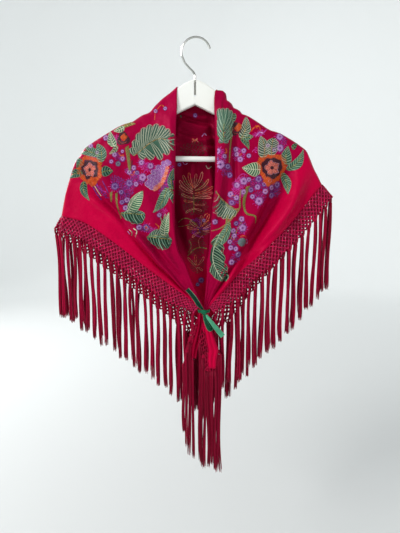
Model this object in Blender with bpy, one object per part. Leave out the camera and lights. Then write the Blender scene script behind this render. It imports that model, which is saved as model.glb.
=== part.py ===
# A triangular silk shawl with a knotted net and long fringe, worn over a trouser hanger and tied in front
# with a ribbon. Lengths are in millimetres until mm() turns them into metres. The origin is the inside top
# of the hanger's hook, +X is to the right seen from the front, +Y is away from the front and +Z is up.
import math

import bmesh
import bpy
from mathutils import Vector

MM = 0.001
GAP = 0.3
EDGE_GAP = 0.6

# Cloth
CLOTH = 1.5
ROUND = 8.0
SEAM = 0.9
FRONT_DEPTH = 21.0
BACK_DEPTH = 15.0
BULGE = 7.0

# Hanger
ARM_THICK = 12.0
ARM_CORNER = 3.0
ARM_END = 203.0
ARM_SEAT = 3.1
ARM_STEPS = 22
ROOF = -112.0
ROOF_SLOPE = 0.47
SLOT_FLOOR = -98.0
TIP_TOP = -189.8
TIP_FALL = 12.5
LUG_THICK = 8.0
LUG_BELOW = 2.5
TILT = math.radians(0.7)
BAR_RADIUS = 4.75
BAR_LEVEL = -205.8
BAR_HALF = 189.0
WIRE_RADIUS = 1.8
HOOK_RADIUS = 25.3
HOOK_SIDE = 1.5
HOOK_OPENS = 14
HOOK_ENDS = 206
HOOK_STEP = 12
HOOK_SHANK = [(-18.0, -41.0), (-11.0, -48.5), (-3.6, -55.5), (0, -61), (0, -66)]
# The line that the cloth follows over the hanger, from its middle outwards: reach along X, height Z.
SHOULDER = [(0, -66.5), (15, -70.5), (32, -81), (45, -92), (57, -104), (69, -116), (82, -125), (98, -133)]
SHOULDER += [(123, -147), (155, -164.5), (180, -179), (202, -194.5)]

# Net and fringe
NET_DEEP = 28.0
NET_THICK = 1.6
NET_SLANT = 0.8
NET_END = 60.0
NET_AT_TIE = 0.3
NET_AT_TIP = 1.3
STRAND_LONG = 167.0
STRAND_WIDE = 4.6
STRAND_THICK = 3.4
STRAND_FLARE = 1.55
SWAY = 1.8

# Tie
TIE = Vector((16.0, -22.0, -485.0))
BAND_HALF_X = 10.4
BAND_HALF_Y = 7.0
BAND_HIGH = 10.0
RIBBON = 1.0
RIBBON_WIDE = 9.5

# Each outline runs from the tie outwards, or from the collar outwards: across X, height Z.
LEFT_OPENING = [(15.4, -484.5), (14.8, -478), (0, -447), (-17, -398), (-34, -340), (-33, -194), (-32, -81)]
LEFT_HEM = [(7.0, -484.5), (6.6, -478.5), (-30, -448), (-84, -408), (-148, -358), (-202, -322), (-249, -309)]
LEFT_SIDE = [(-220, -213), (-230, -240), (-240, -270), (-249, -309)]
RIGHT_OPENING = [(16.8, -484.5), (17.4, -478), (22, -425), (22, -388), (26, -300), (32, -240), (34, -105), (42, -89.5)]
RIGHT_HEM = [(25.0, -484.5), (25.4, -478.5), (67, -431), (103, -393), (173, -325), (209, -279), (233, -252)]
RIGHT_SIDE = [(217, -223), (225, -237), (233, -252)]
BACK_NECK = Vector((3.0, 11.0, -107.0))
BACK_TIP = Vector((20.0, 16.0, -523.0))

# Folds fan out from the tie. Columns: at_tie and at_side, places across the wing from 0 at the front opening to
# 1 at the hem; width, a share of the wing; height forwards; start and stop, places from the tie to the side.
LEFT_FOLDS = [
    (0.10, 0.05, 0.045, 4.5, 0.05, 0.95),
    (0.26, 0.17, 0.055, -4.0, 0.04, 0.86),
    (0.42, 0.34, 0.070, 4.5, 0.04, 0.80),
    (0.56, 0.50, 0.050, -4.0, 0.02, 0.74),
    (0.69, 0.62, 0.060, 7.0, 0.03, 0.97),
    (0.81, 0.71, 0.038, -8.0, 0.03, 1.05),
    (0.93, 0.88, 0.060, 3.0, 0.06, 0.90),
]
RIGHT_FOLDS = [
    (0.10, 0.05, 0.060, 8.0, 0.08, 1.02),
    (0.24, 0.17, 0.045, -5.0, 0.05, 0.97),
    (0.40, 0.36, 0.080, 5.0, 0.04, 0.84),
    (0.52, 0.55, 0.050, 3.5, 0.03, 0.80),
    (0.65, 0.71, 0.062, -12.0, 0.02, 0.97),
    (0.81, 0.86, 0.062, 7.0, 0.03, 1.00),
    (0.93, 0.95, 0.035, -3.0, 0.25, 0.95),
]
# Back folds hang from the shoulders. Columns: at_top and at_hem, places across from -1 at the left side to 1 at
# the right; width; height backwards; start and stop, from the neck edge, 0, to the hem, 1.
BACK_FOLDS = [
    (-0.62, -0.45, 0.110, 5.0, 0.10, 1.05),
    (-0.36, -0.27, 0.080, -4.5, 0.06, 1.00),
    (-0.12, -0.10, 0.100, 3.5, 0.18, 1.02),
    (0.13, 0.08, 0.075, -3.5, 0.12, 0.98),
    (0.38, 0.28, 0.090, 5.0, 0.06, 1.05),
    (0.64, 0.50, 0.080, -4.0, 0.12, 1.00),
]
TIE_SHARE = 0.017
ALONG = 15
ACROSS = 27
BACK_DOWN = 15
BACK_ACROSS = 9

# Colours: name, red, green, blue, roughness, metallic
FINISHES = [
    ("silk", 0.52, 0.005, 0.050, 0.45, 0.0),
    ("fringe", 0.33, 0.006, 0.040, 0.60, 0.0),
    ("ribbon", 0.02, 0.22, 0.11, 0.35, 0.0),
    ("hanger", 0.86, 0.86, 0.82, 0.40, 0.0),
    ("hook", 0.62, 0.62, 0.60, 0.25, 1.0),
]


def mm(point):
    return Vector(point) * MM


def mix(a, b, f):
    return a + (b - a) * f


def ease(x):
    x = min(max(x, 0.0), 1.0)
    return x * x * (3 - 2 * x)


def curve_point(points, f):
    """A point of the smooth curve through the points, f of the way along it by straight distance."""
    p = [Vector(q) for q in points]
    lengths = [(b - a).length for a, b in zip(p, p[1:])]
    rest = f * sum(lengths)
    k = 0
    while k < len(lengths) - 1 and rest > lengths[k]:
        rest -= lengths[k]
        k += 1
    u = rest / lengths[k]
    a = p[k - 1] if k > 0 else p[k] * 2 - p[k + 1]
    d = p[k + 2] if k + 2 < len(p) else p[k + 1] * 2 - p[k]
    b = p[k]
    c = p[k + 1]
    return 0.5 * (2 * b + (c - a) * u + (2 * a - 5 * b + 4 * c - d) * u**2 + (3 * b - a - 3 * c + d) * u**3)


def finish_material(name):
    row = next(f for f in FINISHES if f[0] == name)
    m = bpy.data.materials.new(name)
    m.use_nodes = True
    shader = m.node_tree.nodes["Principled BSDF"]
    shader.inputs["Base Color"].default_value = (row[1], row[2], row[3], 1)
    shader.inputs["Roughness"].default_value = row[4]
    shader.inputs["Metallic"].default_value = row[5]
    m.diffuse_color = (row[1], row[2], row[3], 1)
    return m


def solid(name, points, faces, finish, smooth_degrees=40):
    """One closed piece from points in millimetres, with its faces turned outwards."""
    mesh = bpy.data.meshes.new(name)
    mesh.from_pydata([mm(p) for p in points], [], faces)
    shape = bmesh.new()
    shape.from_mesh(mesh)
    bmesh.ops.recalc_face_normals(shape, faces=shape.faces)
    shape.to_mesh(mesh)
    shape.free()
    mesh.shade_smooth()
    mesh.set_sharp_from_angle(angle=math.radians(smooth_degrees))
    mesh.materials.append(finish_material(finish))
    piece = bpy.data.objects.new(name, mesh)
    bpy.context.scene.collection.objects.link(piece)
    return piece


def grid_normals(grid):
    """The normal at each point of a grid of points, pointing to the front where the columns run to +X."""
    rows = len(grid)
    columns = len(grid[0])
    normals = []
    for i in range(rows):
        line = []
        for j in range(columns):
            across = grid[i][min(j + 1, columns - 1)] - grid[i][max(j - 1, 0)]
            down = grid[min(i + 1, rows - 1)][j] - grid[max(i - 1, 0)][j]
            line.append(-across.cross(down).normalized())
        normals.append(line)
    return normals


def wall_shell(grid, thick):
    """The two faces of a wall around a grid: front points, back points, as one list, front ones first."""
    normals = grid_normals(grid)
    front = [p + n * thick / 2 for line, ns in zip(grid, normals) for p, n in zip(line, ns)]
    back = [p - n * thick / 2 for line, ns in zip(grid, normals) for p, n in zip(line, ns)]
    return front + back


def wall_faces(rows, columns, open_rim=()):
    """Quads of a closed wall. open_rim lists columns whose quad in the last row's rim is left out."""
    size = rows * columns
    faces = []
    for i in range(rows - 1):
        for j in range(columns - 1):
            a = i * columns + j
            quad = (a, a + 1, a + columns + 1, a + columns)
            faces.append(quad)
            faces.append(tuple(k + size for k in reversed(quad)))
    for j in range(columns - 1):
        last = (rows - 1) * columns + j
        faces.append((j, j + size, j + size + 1, j + 1))
        if j not in open_rim:
            faces.append((last, last + 1, last + size + 1, last + size))
    for i in range(rows - 1):
        a = i * columns
        b = a + columns - 1
        faces.append((a, a + columns, a + columns + size, a + size))
        faces.append((b, b + size, b + columns + size, b + columns))
    return faces


def wall(name, grid, thick, finish):
    return solid(name, wall_shell(grid, thick), wall_faces(len(grid), len(grid[0])), finish)


def sweep(name, rings, finish, smooth_degrees=40):
    """One closed piece through rings of equally many points, closed at both ends."""
    sides = len(rings[0])
    points = [p for ring in rings for p in ring]
    faces = []
    for k in range(len(rings) - 1):
        for j in range(sides):
            a = k * sides + j
            b = k * sides + (j + 1) % sides
            faces.append((a, b, b + sides, a + sides))
    faces.append(tuple(range(sides)))
    faces.append(tuple(range(len(points) - sides, len(points))))
    return solid(name, points, faces, finish, smooth_degrees)


def tube(name, path, radius, sides, finish):
    """A round bar or wire along a path that lies in the plane of the hanger."""
    rings = []
    for k, place in enumerate(path):
        direction = (path[min(k + 1, len(path) - 1)] - path[max(k - 1, 0)]).normalized()
        side = direction.cross(Vector((0, 1, 0))).normalized()
        out = side.cross(direction)
        angles = [math.tau * j / sides for j in range(sides)]
        rings.append([place + (side * math.cos(a) + out * math.sin(a)) * radius for a in angles])
    return sweep(name, rings, finish)


# Hanger


def tilted(x, z):
    return z - x * math.tan(TILT)


def arm_ring(x, top, bottom):
    """A rounded rectangle across the arm at one place along it."""
    half_y = ARM_THICK / 2
    half_z = (top - bottom) / 2
    corner = min(ARM_CORNER, half_z * 0.6)
    points = []
    for corner_y, corner_z, start in ((1, 1, 0), (-1, 1, 90), (-1, -1, 180), (1, -1, 270)):
        for turn in (0, 45, 90):
            a = math.radians(start + turn)
            y = corner_y * (half_y - corner) + corner * math.cos(a)
            z = corner_z * (half_z - corner) + corner * math.sin(a)
            points.append(Vector((x, y, (top + bottom) / 2 + z)))
    return points


def hanger_arm(name, side):
    """One half of the flat, contoured arm. The halves leave a slot for the wire, and a lug holds the bar."""
    half_slot = WIRE_RADIUS + GAP
    stations = [(GAP / 2, SLOT_FLOOR, ROOF), (half_slot, SLOT_FLOOR, ROOF - half_slot * ROOF_SLOPE)]
    for k in range(ARM_STEPS + 1):
        f = k / ARM_STEPS
        place = curve_point(SHOULDER, f)
        ahead = curve_point(SHOULDER, min(f + 0.01, 1))
        behind = curve_point(SHOULDER, max(f - 0.01, 0))
        inward = Vector(((ahead - behind).y, -(ahead - behind).x)).normalized()
        spot = place + inward * ARM_SEAT
        reach = max(spot.x, half_slot)
        if reach < BAR_HALF:
            stations.append((reach, spot.y, ROOF - ROOF_SLOPE * reach))
    low = BAR_LEVEL - BAR_RADIUS - LUG_BELOW
    lug = BAR_HALF + GAP
    stations.append((lug, TIP_TOP, ROOF - ROOF_SLOPE * lug))
    stations.append((lug, TIP_TOP, low))
    stations.append((lug + LUG_THICK, TIP_TOP - TIP_FALL / 2, low))
    stations.append((ARM_END, TIP_TOP - TIP_FALL, low + LUG_BELOW))
    rings = [arm_ring(side * x, tilted(side * x, top), tilted(side * x, low)) for x, top, low in stations]
    return sweep(name, rings, "hanger")


def hanger_hook():
    """Bent wire: most of a circle, then a slanting run back to the middle and down into the slot."""
    centre = Vector((HOOK_SIDE, 0, WIRE_RADIUS - HOOK_RADIUS))
    path = []
    for degrees in range(HOOK_OPENS, HOOK_ENDS, HOOK_STEP):
        a = math.radians(degrees)
        path.append(centre + Vector((math.cos(a), 0, math.sin(a))) * HOOK_RADIUS)
    path += [Vector((x, 0, z)) for x, z in HOOK_SHANK]
    path.append(Vector((0, 0, SLOT_FLOOR + ARM_CORNER + GAP)))
    return tube("hanger_hook", path, WIRE_RADIUS, 8, "hook")


def hanger_bar():
    path = [Vector((x, 0, tilted(x, BAR_LEVEL))) for x in (-BAR_HALF, 0, BAR_HALF)]
    return tube("hanger_bar", path, BAR_RADIUS, 12, "hanger")


# Cloth


def side_line(start, side_fall, side):
    """The line where a wing passes over the shoulder: collar, along the arm, then down the side."""
    over = [(side * x, tilted(side * x, z)) for x, z in SHOULDER if x > abs(start[0]) + 5]
    turn = [(side * (ARM_END + 6), tilted(side * ARM_END, SHOULDER[-1][1] - 8))]
    return [start] + over + turn + side_fall


SIDES = {
    "left": side_line(LEFT_OPENING[-1], LEFT_SIDE, -1),
    "right": side_line(RIGHT_OPENING[-1], RIGHT_SIDE, 1),
}
OPENINGS = {"left": LEFT_OPENING, "right": RIGHT_OPENING}
HEMS = {"left": LEFT_HEM, "right": RIGHT_HEM}
FOLDS = {"left": LEFT_FOLDS, "right": RIGHT_FOLDS}


def fold_height(folds, along, across):
    total = 0.0
    for at_tie, at_side, width, height, start, stop in folds:
        middle = mix(at_tie, at_side, along)
        fade = ease((along - start) / 0.16) * ease((stop - along) / 0.16)
        total += height * fade * math.exp(-(((across - middle) / width) ** 2))
    return total


def wing_flat(side, along, across):
    """A wing seen from the front: its four outlines, blended between them."""
    opening = curve_point(OPENINGS[side], along)
    hem = curve_point(HEMS[side], along)
    line = curve_point(SIDES[side], across)
    tie_a = Vector(OPENINGS[side][0])
    tie_b = Vector(HEMS[side][0])
    side_a = Vector(SIDES[side][0])
    side_b = Vector(SIDES[side][-1])
    ruled = mix(opening, hem, across)
    crossed = mix(mix(tie_a, tie_b, across), line, along)
    corners = mix(mix(tie_a, tie_b, across), mix(side_a, side_b, across), along)
    return ruled + crossed - corners


def wing_point(side, along, across):
    """A point of a wing: rounded over the shoulder line, folded, and drawn in to the tie."""
    flat = wing_flat(side, along, across)
    edge = wing_flat(side, 1.0, across)
    inside = min((flat - edge).length, ROUND) / ROUND
    over = ROUND * math.sqrt(max(1 - (1 - inside) ** 2, 0))
    depth = mix(FRONT_DEPTH - ROUND, 0, along) + BULGE * math.sin(math.pi * along) ** 0.8
    calm = ease((1 - along) / 0.12)
    folds = fold_height(FOLDS[side], along, across) * min(1.0, 0.35 + 3 * along)
    y = -over - depth * calm - folds * ease(inside)
    return Vector((flat.x, min(y, -SEAM / 2), flat.y))


def rim_shares(length):
    """Places along a line of the cloth where it turns over the shoulder, from just inside to the top."""
    return [1 - ROUND * (1 - math.cos(math.radians(a))) / length for a in (80, 57, 34, 0)]


def wing_grid(side):
    """Rows from the shoulder line to the tie. Columns always run towards +X, as seen from the front."""
    lines = []
    for k in range(ACROSS):
        across = k / (ACROSS - 1)
        rim = rim_shares((wing_flat(side, 1, across) - wing_flat(side, 0, across)).length)
        along = [0.0] + [mix(TIE_SHARE, rim[0], (i / (ALONG - 1)) ** 0.9) for i in range(ALONG)] + rim[1:]
        lines.append([wing_point(side, r, across) for r in reversed(along)])
    if side == "left":
        lines.reverse()
    return [list(row) for row in zip(*lines)]


def back_point(down, across):
    """A point of the back: down from the neck edge to the hem, across from -1 at the left to 1 at the right."""
    side = "left" if across < 0 else "right"
    edge = curve_point(SIDES[side], down)
    middle = mix(BACK_NECK, BACK_TIP, down)
    f = abs(across)
    flat = mix(Vector((middle.x, middle.z)), edge, f)
    inside = min((flat - edge).length, ROUND) / ROUND
    over = ROUND * math.sqrt(max(1 - (1 - inside) ** 2, 0))
    depth = (BACK_DEPTH - ROUND) * (1 - f**2) * ease(inside)
    folds = fold_height_back(down, across) * ease(inside)
    return Vector((flat.x, max(over + depth + folds, SEAM / 2), flat.y))


def fold_height_back(down, across):
    total = 0.0
    for at_top, at_hem, width, height, start, stop in BACK_FOLDS:
        middle = mix(at_top, at_hem, down)
        fade = ease((down - start) / 0.2) * ease((stop - down) / 0.1)
        total += height * fade * math.exp(-(((across - middle) / width) ** 2))
    return total


def back_grid():
    """Rows from the neck edge to the hem, columns towards +X."""
    grid = []
    for k in range(BACK_DOWN):
        down = k / (BACK_DOWN - 1)
        middle = mix(BACK_NECK, BACK_TIP, down)
        halves = []
        for side, sign in (("left", -1), ("right", 1)):
            edge = curve_point(SIDES[side], down)
            rim = rim_shares((edge - Vector((middle.x, middle.z))).length)
            across = [rim[0] * i / BACK_ACROSS for i in range(BACK_ACROSS + 1)] + rim[1:]
            halves.append([back_point(down, sign * c) for c in across])
        grid.append(list(reversed(halves[0])) + halves[1][1:])
    return grid


# Net and fringe


# Places down a strand and how much wider than its root it is there.
HEM_STRAND = [(0.09, 1.0), (0.45, 1.12), (0.86, 1.3), (1.0, STRAND_FLARE)]
TAIL_STRAND = [(0.10, 1.0), (0.50, 1.05), (1.0, 1.15)]


def hang_strands(points, faces, rows, columns, roots, lengths, shape):
    """Adds four-sided strands to a wall's points and faces, one from each open quad of its lower rim."""
    size = rows * columns
    for k, column in enumerate(roots):
        a = (rows - 1) * columns + column
        ring = [a, a + 1, a + 1 + size, a + size]
        root = sum((points[i] for i in ring), Vector()) / 4
        sway = SWAY * math.sin(2.4 * k + 0.7)
        for f, spread in shape:
            middle = root + Vector((sway * f, 0.8 * math.sin(1.7 * k) * f, -lengths[k] * f))
            w = STRAND_WIDE / 2 * spread
            d = STRAND_THICK / 2 * spread
            start = len(points)
            points += [middle + Vector((x, y, 0)) for x, y in ((-w, -d), (w, -d), (w, d), (-w, d))]
            new = list(range(start, start + 4))
            for j in range(4):
                i = (j + 1) % 4
                faces.append((ring[j], ring[i], new[i], new[j]))
            ring = new
        faces.append(tuple(ring))


def fringe_band(name, edge, start, stop, lengths, tie_end=None, tip_end=None):
    """The net band below an edge curve, with a row of strands fused into its lower rim.

    edge(f) is a point of the cloth's edge, f from 0 at the lower X to 1. The band runs from start to stop. It
    narrows towards its tie_end, and hangs straight down at its tip_end, where it meets the next band.
    """
    count = len(lengths)
    reach = (edge(stop) - edge(start)).length
    margin = STRAND_WIDE / reach
    places = [mix(margin, 1 - margin, k / (count - 1)) for k in range(count)]
    stops = [0.0] + [p + d for p in places for d in (-margin / 2, margin / 2)] + [1.0]
    grid = []
    for deep in (EDGE_GAP, NET_DEEP * 0.5, NET_DEEP):
        line = []
        for f in stops:
            place = mix(start, stop, f)
            along = (edge(min(place + 0.01, 1)) - edge(max(place - 0.01, 0))).normalized()
            fall = Vector((along.z, 0, -along.x))
            if fall.z > 0:
                fall = -fall
            fall = (fall.normalized() * NET_SLANT - Vector((0, 0, 1 - NET_SLANT))).normalized()
            share = 1.0
            if tie_end is not None:
                share = mix(NET_AT_TIE, 1.0, ease(abs(f - tie_end) * reach / NET_END))
            if tip_end is not None:
                straight = 1 - ease(abs(f - tip_end) * reach / NET_END)
                fall = mix(fall, Vector((0, 0, -NET_AT_TIP)), straight)
            line.append(edge(place) + fall * (deep * share if deep > EDGE_GAP else deep))
        grid.append(line)
    columns = len(stops)
    points = wall_shell(grid, NET_THICK)
    roots = [2 * k + 1 for k in range(count)]
    faces = wall_faces(len(grid), columns, roots)
    hang_strands(points, faces, len(grid), columns, roots, lengths, HEM_STRAND)
    return solid(name, points, faces, "fringe", 50)


def strand_lengths(count, shift):
    """Slightly uneven lengths, the same at each run."""
    return [STRAND_LONG + 4.5 * math.sin(2.1 * k + shift) + 2.5 * math.sin(5.3 * k) for k in range(count)]


def edge_of(points):
    """The straight-sided edge through the points of a cloth's hem, as a function of the share along it."""
    lengths = [(b - a).length for a, b in zip(points, points[1:])]

    def edge(f):
        rest = f * sum(lengths)
        k = 0
        while k < len(lengths) - 1 and rest > lengths[k]:
            rest -= lengths[k]
            k += 1
        return mix(points[k], points[k + 1], rest / lengths[k])

    return edge


# Tails below the tie


def tail_grid(rows, columns=5):
    """A tapering strip with a soft pleat. Each row has its middle X and Z, its half width and its depth Y."""
    grid = []
    for x, z, half, y, pleat in rows:
        line = []
        for k in range(columns):
            f = 2 * k / (columns - 1) - 1
            line.append(Vector((x + half * f, y + pleat * (1 if k % 2 else -1), z)))
        grid.append(line)
    return grid


# Tail columns: middle X, middle Z, half width, Y, pleat depth.
TAIL_LEFT = [
    (11.0, -485.9, 4.2, -21.5, 1.4),
    (11.0, -491.5, 4.2, -21.0, 1.6),
    (9.5, -508.0, 5.0, -23.0, 1.8),
    (6.5, -526.0, 6.5, -25.0, 2.0),
    (0.5, -552.0, 7.5, -26.0, 1.8),
    (-3.0, -574.0, 6.0, -26.0, 1.0),
]
TAIL_RIGHT = [
    (20.8, -485.9, 4.4, -22.5, 1.4),
    (20.8, -491.5, 4.4, -22.0, 1.6),
    (22.5, -508.0, 6.5, -27.0, 1.8),
    (27.5, -528.0, 10.0, -30.0, 2.2),
    (32.5, -556.0, 10.8, -31.0, 2.2),
    (33.5, -578.0, 8.0, -31.0, 1.4),
    (33.0, -592.0, 4.0, -31.0, 0.6),
]
TAIL_NET = 10.0
TAIL_NET_FALL = 7.0
TAIL_NET_GAP = 1.0
TAIL_FOOT_FALL = 9.0


def tail_fringe(name, rows, foot_from, foot_to, lengths):
    """A narrow net band down the left edge of a tail, which spreads at its foot into strands side by side."""
    count = len(lengths)
    pitch = (foot_to - foot_from) / count
    middles = [foot_from + pitch * (k + 0.5) for k in range(count)]
    stops = [foot_from] + [x + d for x in middles for d in (-STRAND_WIDE / 2, STRAND_WIDE / 2)] + [foot_to]
    columns = len(stops)
    grid = []
    for x, z, half, y, _ in rows:
        inner = Vector((x - half - TAIL_NET_GAP, y, z))
        outer = inner + Vector((-TAIL_NET, -1.0, -TAIL_NET_FALL))
        grid.append([mix(outer, inner, j / (columns - 1)) for j in range(columns)])
    foot = grid[-1][0]
    grid.append([Vector((x, foot.y - 1.5, foot.z - TAIL_FOOT_FALL)) for x in stops])
    points = wall_shell(grid, NET_THICK)
    roots = [2 * k + 1 for k in range(count)]
    faces = wall_faces(len(grid), columns, roots)
    hang_strands(points, faces, len(grid), columns, roots, lengths, TAIL_STRAND)
    return solid(name, points, faces, "fringe", 50)


# Ribbon


def ribbon_band(sides=24):
    """The turn of ribbon around both corners: a short open ring."""
    points = []
    rows = ((0, -1), (1, -1), (1, 1), (0, 1))
    for k in range(sides):
        a = math.tau * k / sides
        for layer, level in rows:
            x = (BAND_HALF_X + layer * RIBBON) * math.cos(a)
            y = (BAND_HALF_Y + layer * RIBBON) * math.sin(a)
            points.append(TIE + Vector((x, y, level * BAND_HIGH / 2)))
    faces = []
    for k in range(sides):
        a = 4 * k
        b = 4 * ((k + 1) % sides)
        for j in range(4):
            i = (j + 1) % 4
            faces.append((a + j, b + j, b + i, a + i))
    return solid("ribbon_band", points, faces, "ribbon")


def ribbon_strip(name, rows):
    """A flat length of ribbon. Each row has its middle place and its turn about its own length, in degrees."""
    grid = []
    middles = [TIE + Vector(row[:3]) for row in rows]
    for k, row in enumerate(rows):
        direction = (middles[min(k + 1, len(rows) - 1)] - middles[max(k - 1, 0)]).normalized()
        side = direction.cross(Vector((0, -1, 0))).normalized()
        out = side.cross(direction)
        turn = math.radians(row[3])
        across = (side * math.cos(turn) + out * math.sin(turn)) * RIBBON_WIDE * row[4] / 2
        grid.append([middles[k] - across, middles[k], middles[k] + across])
    return wall(name, grid, RIBBON, "ribbon")


KNOT_FRONT = -(BAND_HALF_Y + RIBBON + GAP)
KNOT_HALF = Vector((7.0, 2.6, 6.2))
# Ribbon columns, from the middle of the tie: X, Y, Z, turn about its own length in degrees, share of the width.
RIBBON_UP = [
    (-3.2, KNOT_FRONT - 2.6, 6.2, 0, 0.55),
    (-9.0, KNOT_FRONT - 5.5, 14.0, 10, 0.85),
    (-16.0, KNOT_FRONT - 6.5, 25.0, 25, 1.0),
    (-23.0, KNOT_FRONT - 6.5, 35.0, 30, 1.0),
    (-31.0, KNOT_FRONT - 6.0, 44.0, 20, 0.9),
]
RIBBON_DOWN = [
    (4.4, KNOT_FRONT - 2.6, -5.6, 0, 0.5),
    (11.0, KNOT_FRONT - 8.5, -14.0, 8, 0.9),
    (20.0, KNOT_FRONT - 11.5, -25.0, 8, 1.0),
    (28.0, KNOT_FRONT - 12.5, -34.5, 8, 1.0),
    (35.0, KNOT_FRONT - 12.5, -43.0, 5, 1.0),
]
RIBBON_LOOP = [
    (-1.5, KNOT_FRONT - 2.6, -6.9, 0, 0.55),
    (-1.0, KNOT_FRONT - 5.0, -15.0, 0, 0.9),
    (0.5, KNOT_FRONT - 6.5, -24.0, 0, 1.0),
    (2.5, KNOT_FRONT - 6.5, -31.0, 0, 1.0),
    (4.5, KNOT_FRONT - 4.5, -35.0, 0, 1.0),
    (4.5, KNOT_FRONT - 1.8, -33.0, 0, 1.0),
    (3.0, KNOT_FRONT - 0.8, -27.0, 0, 0.9),
    (1.0, KNOT_FRONT - 0.6, -18.0, 0, 0.7),
]


def ribbon_knot(rings=6, sides=12):
    """The small flattened lump where the ribbon crosses itself, just in front of the band."""
    half = KNOT_HALF
    middle = TIE + Vector((0, KNOT_FRONT - half.y, 0))
    points = [middle + Vector((0, 0, half.z))]
    for i in range(1, rings):
        a = math.pi * i / rings
        for j in range(sides):
            b = math.tau * j / sides
            spot = Vector((math.sin(a) * math.cos(b), math.sin(a) * math.sin(b), math.cos(a)))
            points.append(middle + Vector((spot.x * half.x, spot.y * half.y, spot.z * half.z)))
    points.append(middle - Vector((0, 0, half.z)))
    faces = []
    for j in range(sides):
        k = (j + 1) % sides
        faces.append((0, 1 + j, 1 + k))
        for i in range(rings - 2):
            a = 1 + i * sides
            faces.append((a + j, a + sides + j, a + sides + k, a + k))
        last = 1 + (rings - 2) * sides
        faces.append((len(points) - 1, last + k, last + j))
    return solid("ribbon_knot", points, faces, "ribbon", 60)


def build():
    for old in list(bpy.data.objects):
        bpy.data.objects.remove(old)
    hanger_arm("hanger_arm_left", -1)
    hanger_arm("hanger_arm_right", 1)
    hanger_hook()
    hanger_bar()
    left = wing_grid("left")
    right = wing_grid("right")
    back = back_grid()
    wall("front_left", left, CLOTH, "silk")
    wall("front_right", right, CLOTH, "silk")
    wall("back", back, CLOTH, "silk")
    left_hem = edge_of([row[0] for row in left])
    right_hem = edge_of([row[-1] for row in reversed(right)])
    middle = len(back[-1]) // 2
    back_left = edge_of(back[-1][: middle + 1])
    back_right = edge_of(back[-1][middle:])
    fringe_band("fringe_front_left", left_hem, 0.0, 0.935, strand_lengths(20, 0.0), tie_end=1)
    fringe_band("fringe_front_right", right_hem, 0.06, 1.0, strand_lengths(18, 1.0), tie_end=0)
    fringe_band("fringe_back_left", back_left, 0.0, 0.998, strand_lengths(22, 2.0), tip_end=1)
    fringe_band("fringe_back_right", back_right, 0.002, 1.0, strand_lengths(18, 3.0), tip_end=0)
    wall("tail_left", tail_grid(TAIL_LEFT), CLOTH, "silk")
    wall("tail_right", tail_grid(TAIL_RIGHT), CLOTH, "silk")
    tail_fringe("fringe_tail_left", TAIL_LEFT[2:], -26, -3, [138.0, 184.0, 193.0])
    tail_fringe("fringe_tail_right", TAIL_RIGHT[3:], 6, 50, [180.0, 193.0, 190.0, 182.0, 203.0, 206.0])
    ribbon_band()
    ribbon_knot()
    ribbon_strip("ribbon_end_up", RIBBON_UP)
    ribbon_strip("ribbon_end_down", RIBBON_DOWN)
    ribbon_strip("ribbon_loop", RIBBON_LOOP)


build()
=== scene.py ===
import math

import bpy
import numpy as np
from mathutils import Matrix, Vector
from mathutils.bvhtree import BVHTree

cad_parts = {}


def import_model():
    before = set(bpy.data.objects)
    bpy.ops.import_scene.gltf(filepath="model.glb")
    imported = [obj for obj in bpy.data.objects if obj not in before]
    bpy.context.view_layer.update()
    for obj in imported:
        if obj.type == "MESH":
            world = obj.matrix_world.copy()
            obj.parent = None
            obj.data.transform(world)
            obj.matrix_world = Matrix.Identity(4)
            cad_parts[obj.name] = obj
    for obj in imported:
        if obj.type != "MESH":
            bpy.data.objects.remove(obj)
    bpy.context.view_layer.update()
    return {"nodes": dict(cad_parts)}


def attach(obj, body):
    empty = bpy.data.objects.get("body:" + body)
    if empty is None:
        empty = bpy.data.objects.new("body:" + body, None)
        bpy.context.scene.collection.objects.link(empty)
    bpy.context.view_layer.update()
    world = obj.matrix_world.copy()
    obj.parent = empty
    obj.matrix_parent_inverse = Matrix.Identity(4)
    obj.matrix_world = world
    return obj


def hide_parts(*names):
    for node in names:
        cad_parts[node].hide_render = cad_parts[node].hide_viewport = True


MM = 0.001
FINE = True

# Shape of the draped cloth, as in the solids. CALM is the share of a wing at the shoulder line in which its
# depth dies out.
ROUND = 8.0
FRONT_DEPTH = 21.0
BACK_DEPTH = 15.0
BULGE = 7.0
ARM_END = 203.0
ARM_CLEAR = 7.3
BELOW_ARM = -236.0
SHOULDER_END = -202.5
TILT = math.radians(0.7)
CALM = 0.12
# Small pleats at the tie: how many, how high, and the share of a wing that they reach up.
PLEATS = 4.0
PLEAT_HIGH = {"left": 0.5, "right": 1.2}
PLEAT_LONG = 0.12
# Where the folds of the right wing are pressed flat: share up from the tie, half width, by how much, and the
# share across at which that ends.
PRESSED_AT = 0.24
PRESSED_WIDE = 0.14
PRESSED_BY = 0.8
PRESSED_END = 0.62
# Shares over which folds fade in and out, and creases at either end
WING_FADE = (0.16, 0.16)
BACK_FADE = (0.2, 0.1)
CREASE_FADE = 0.25
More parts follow.
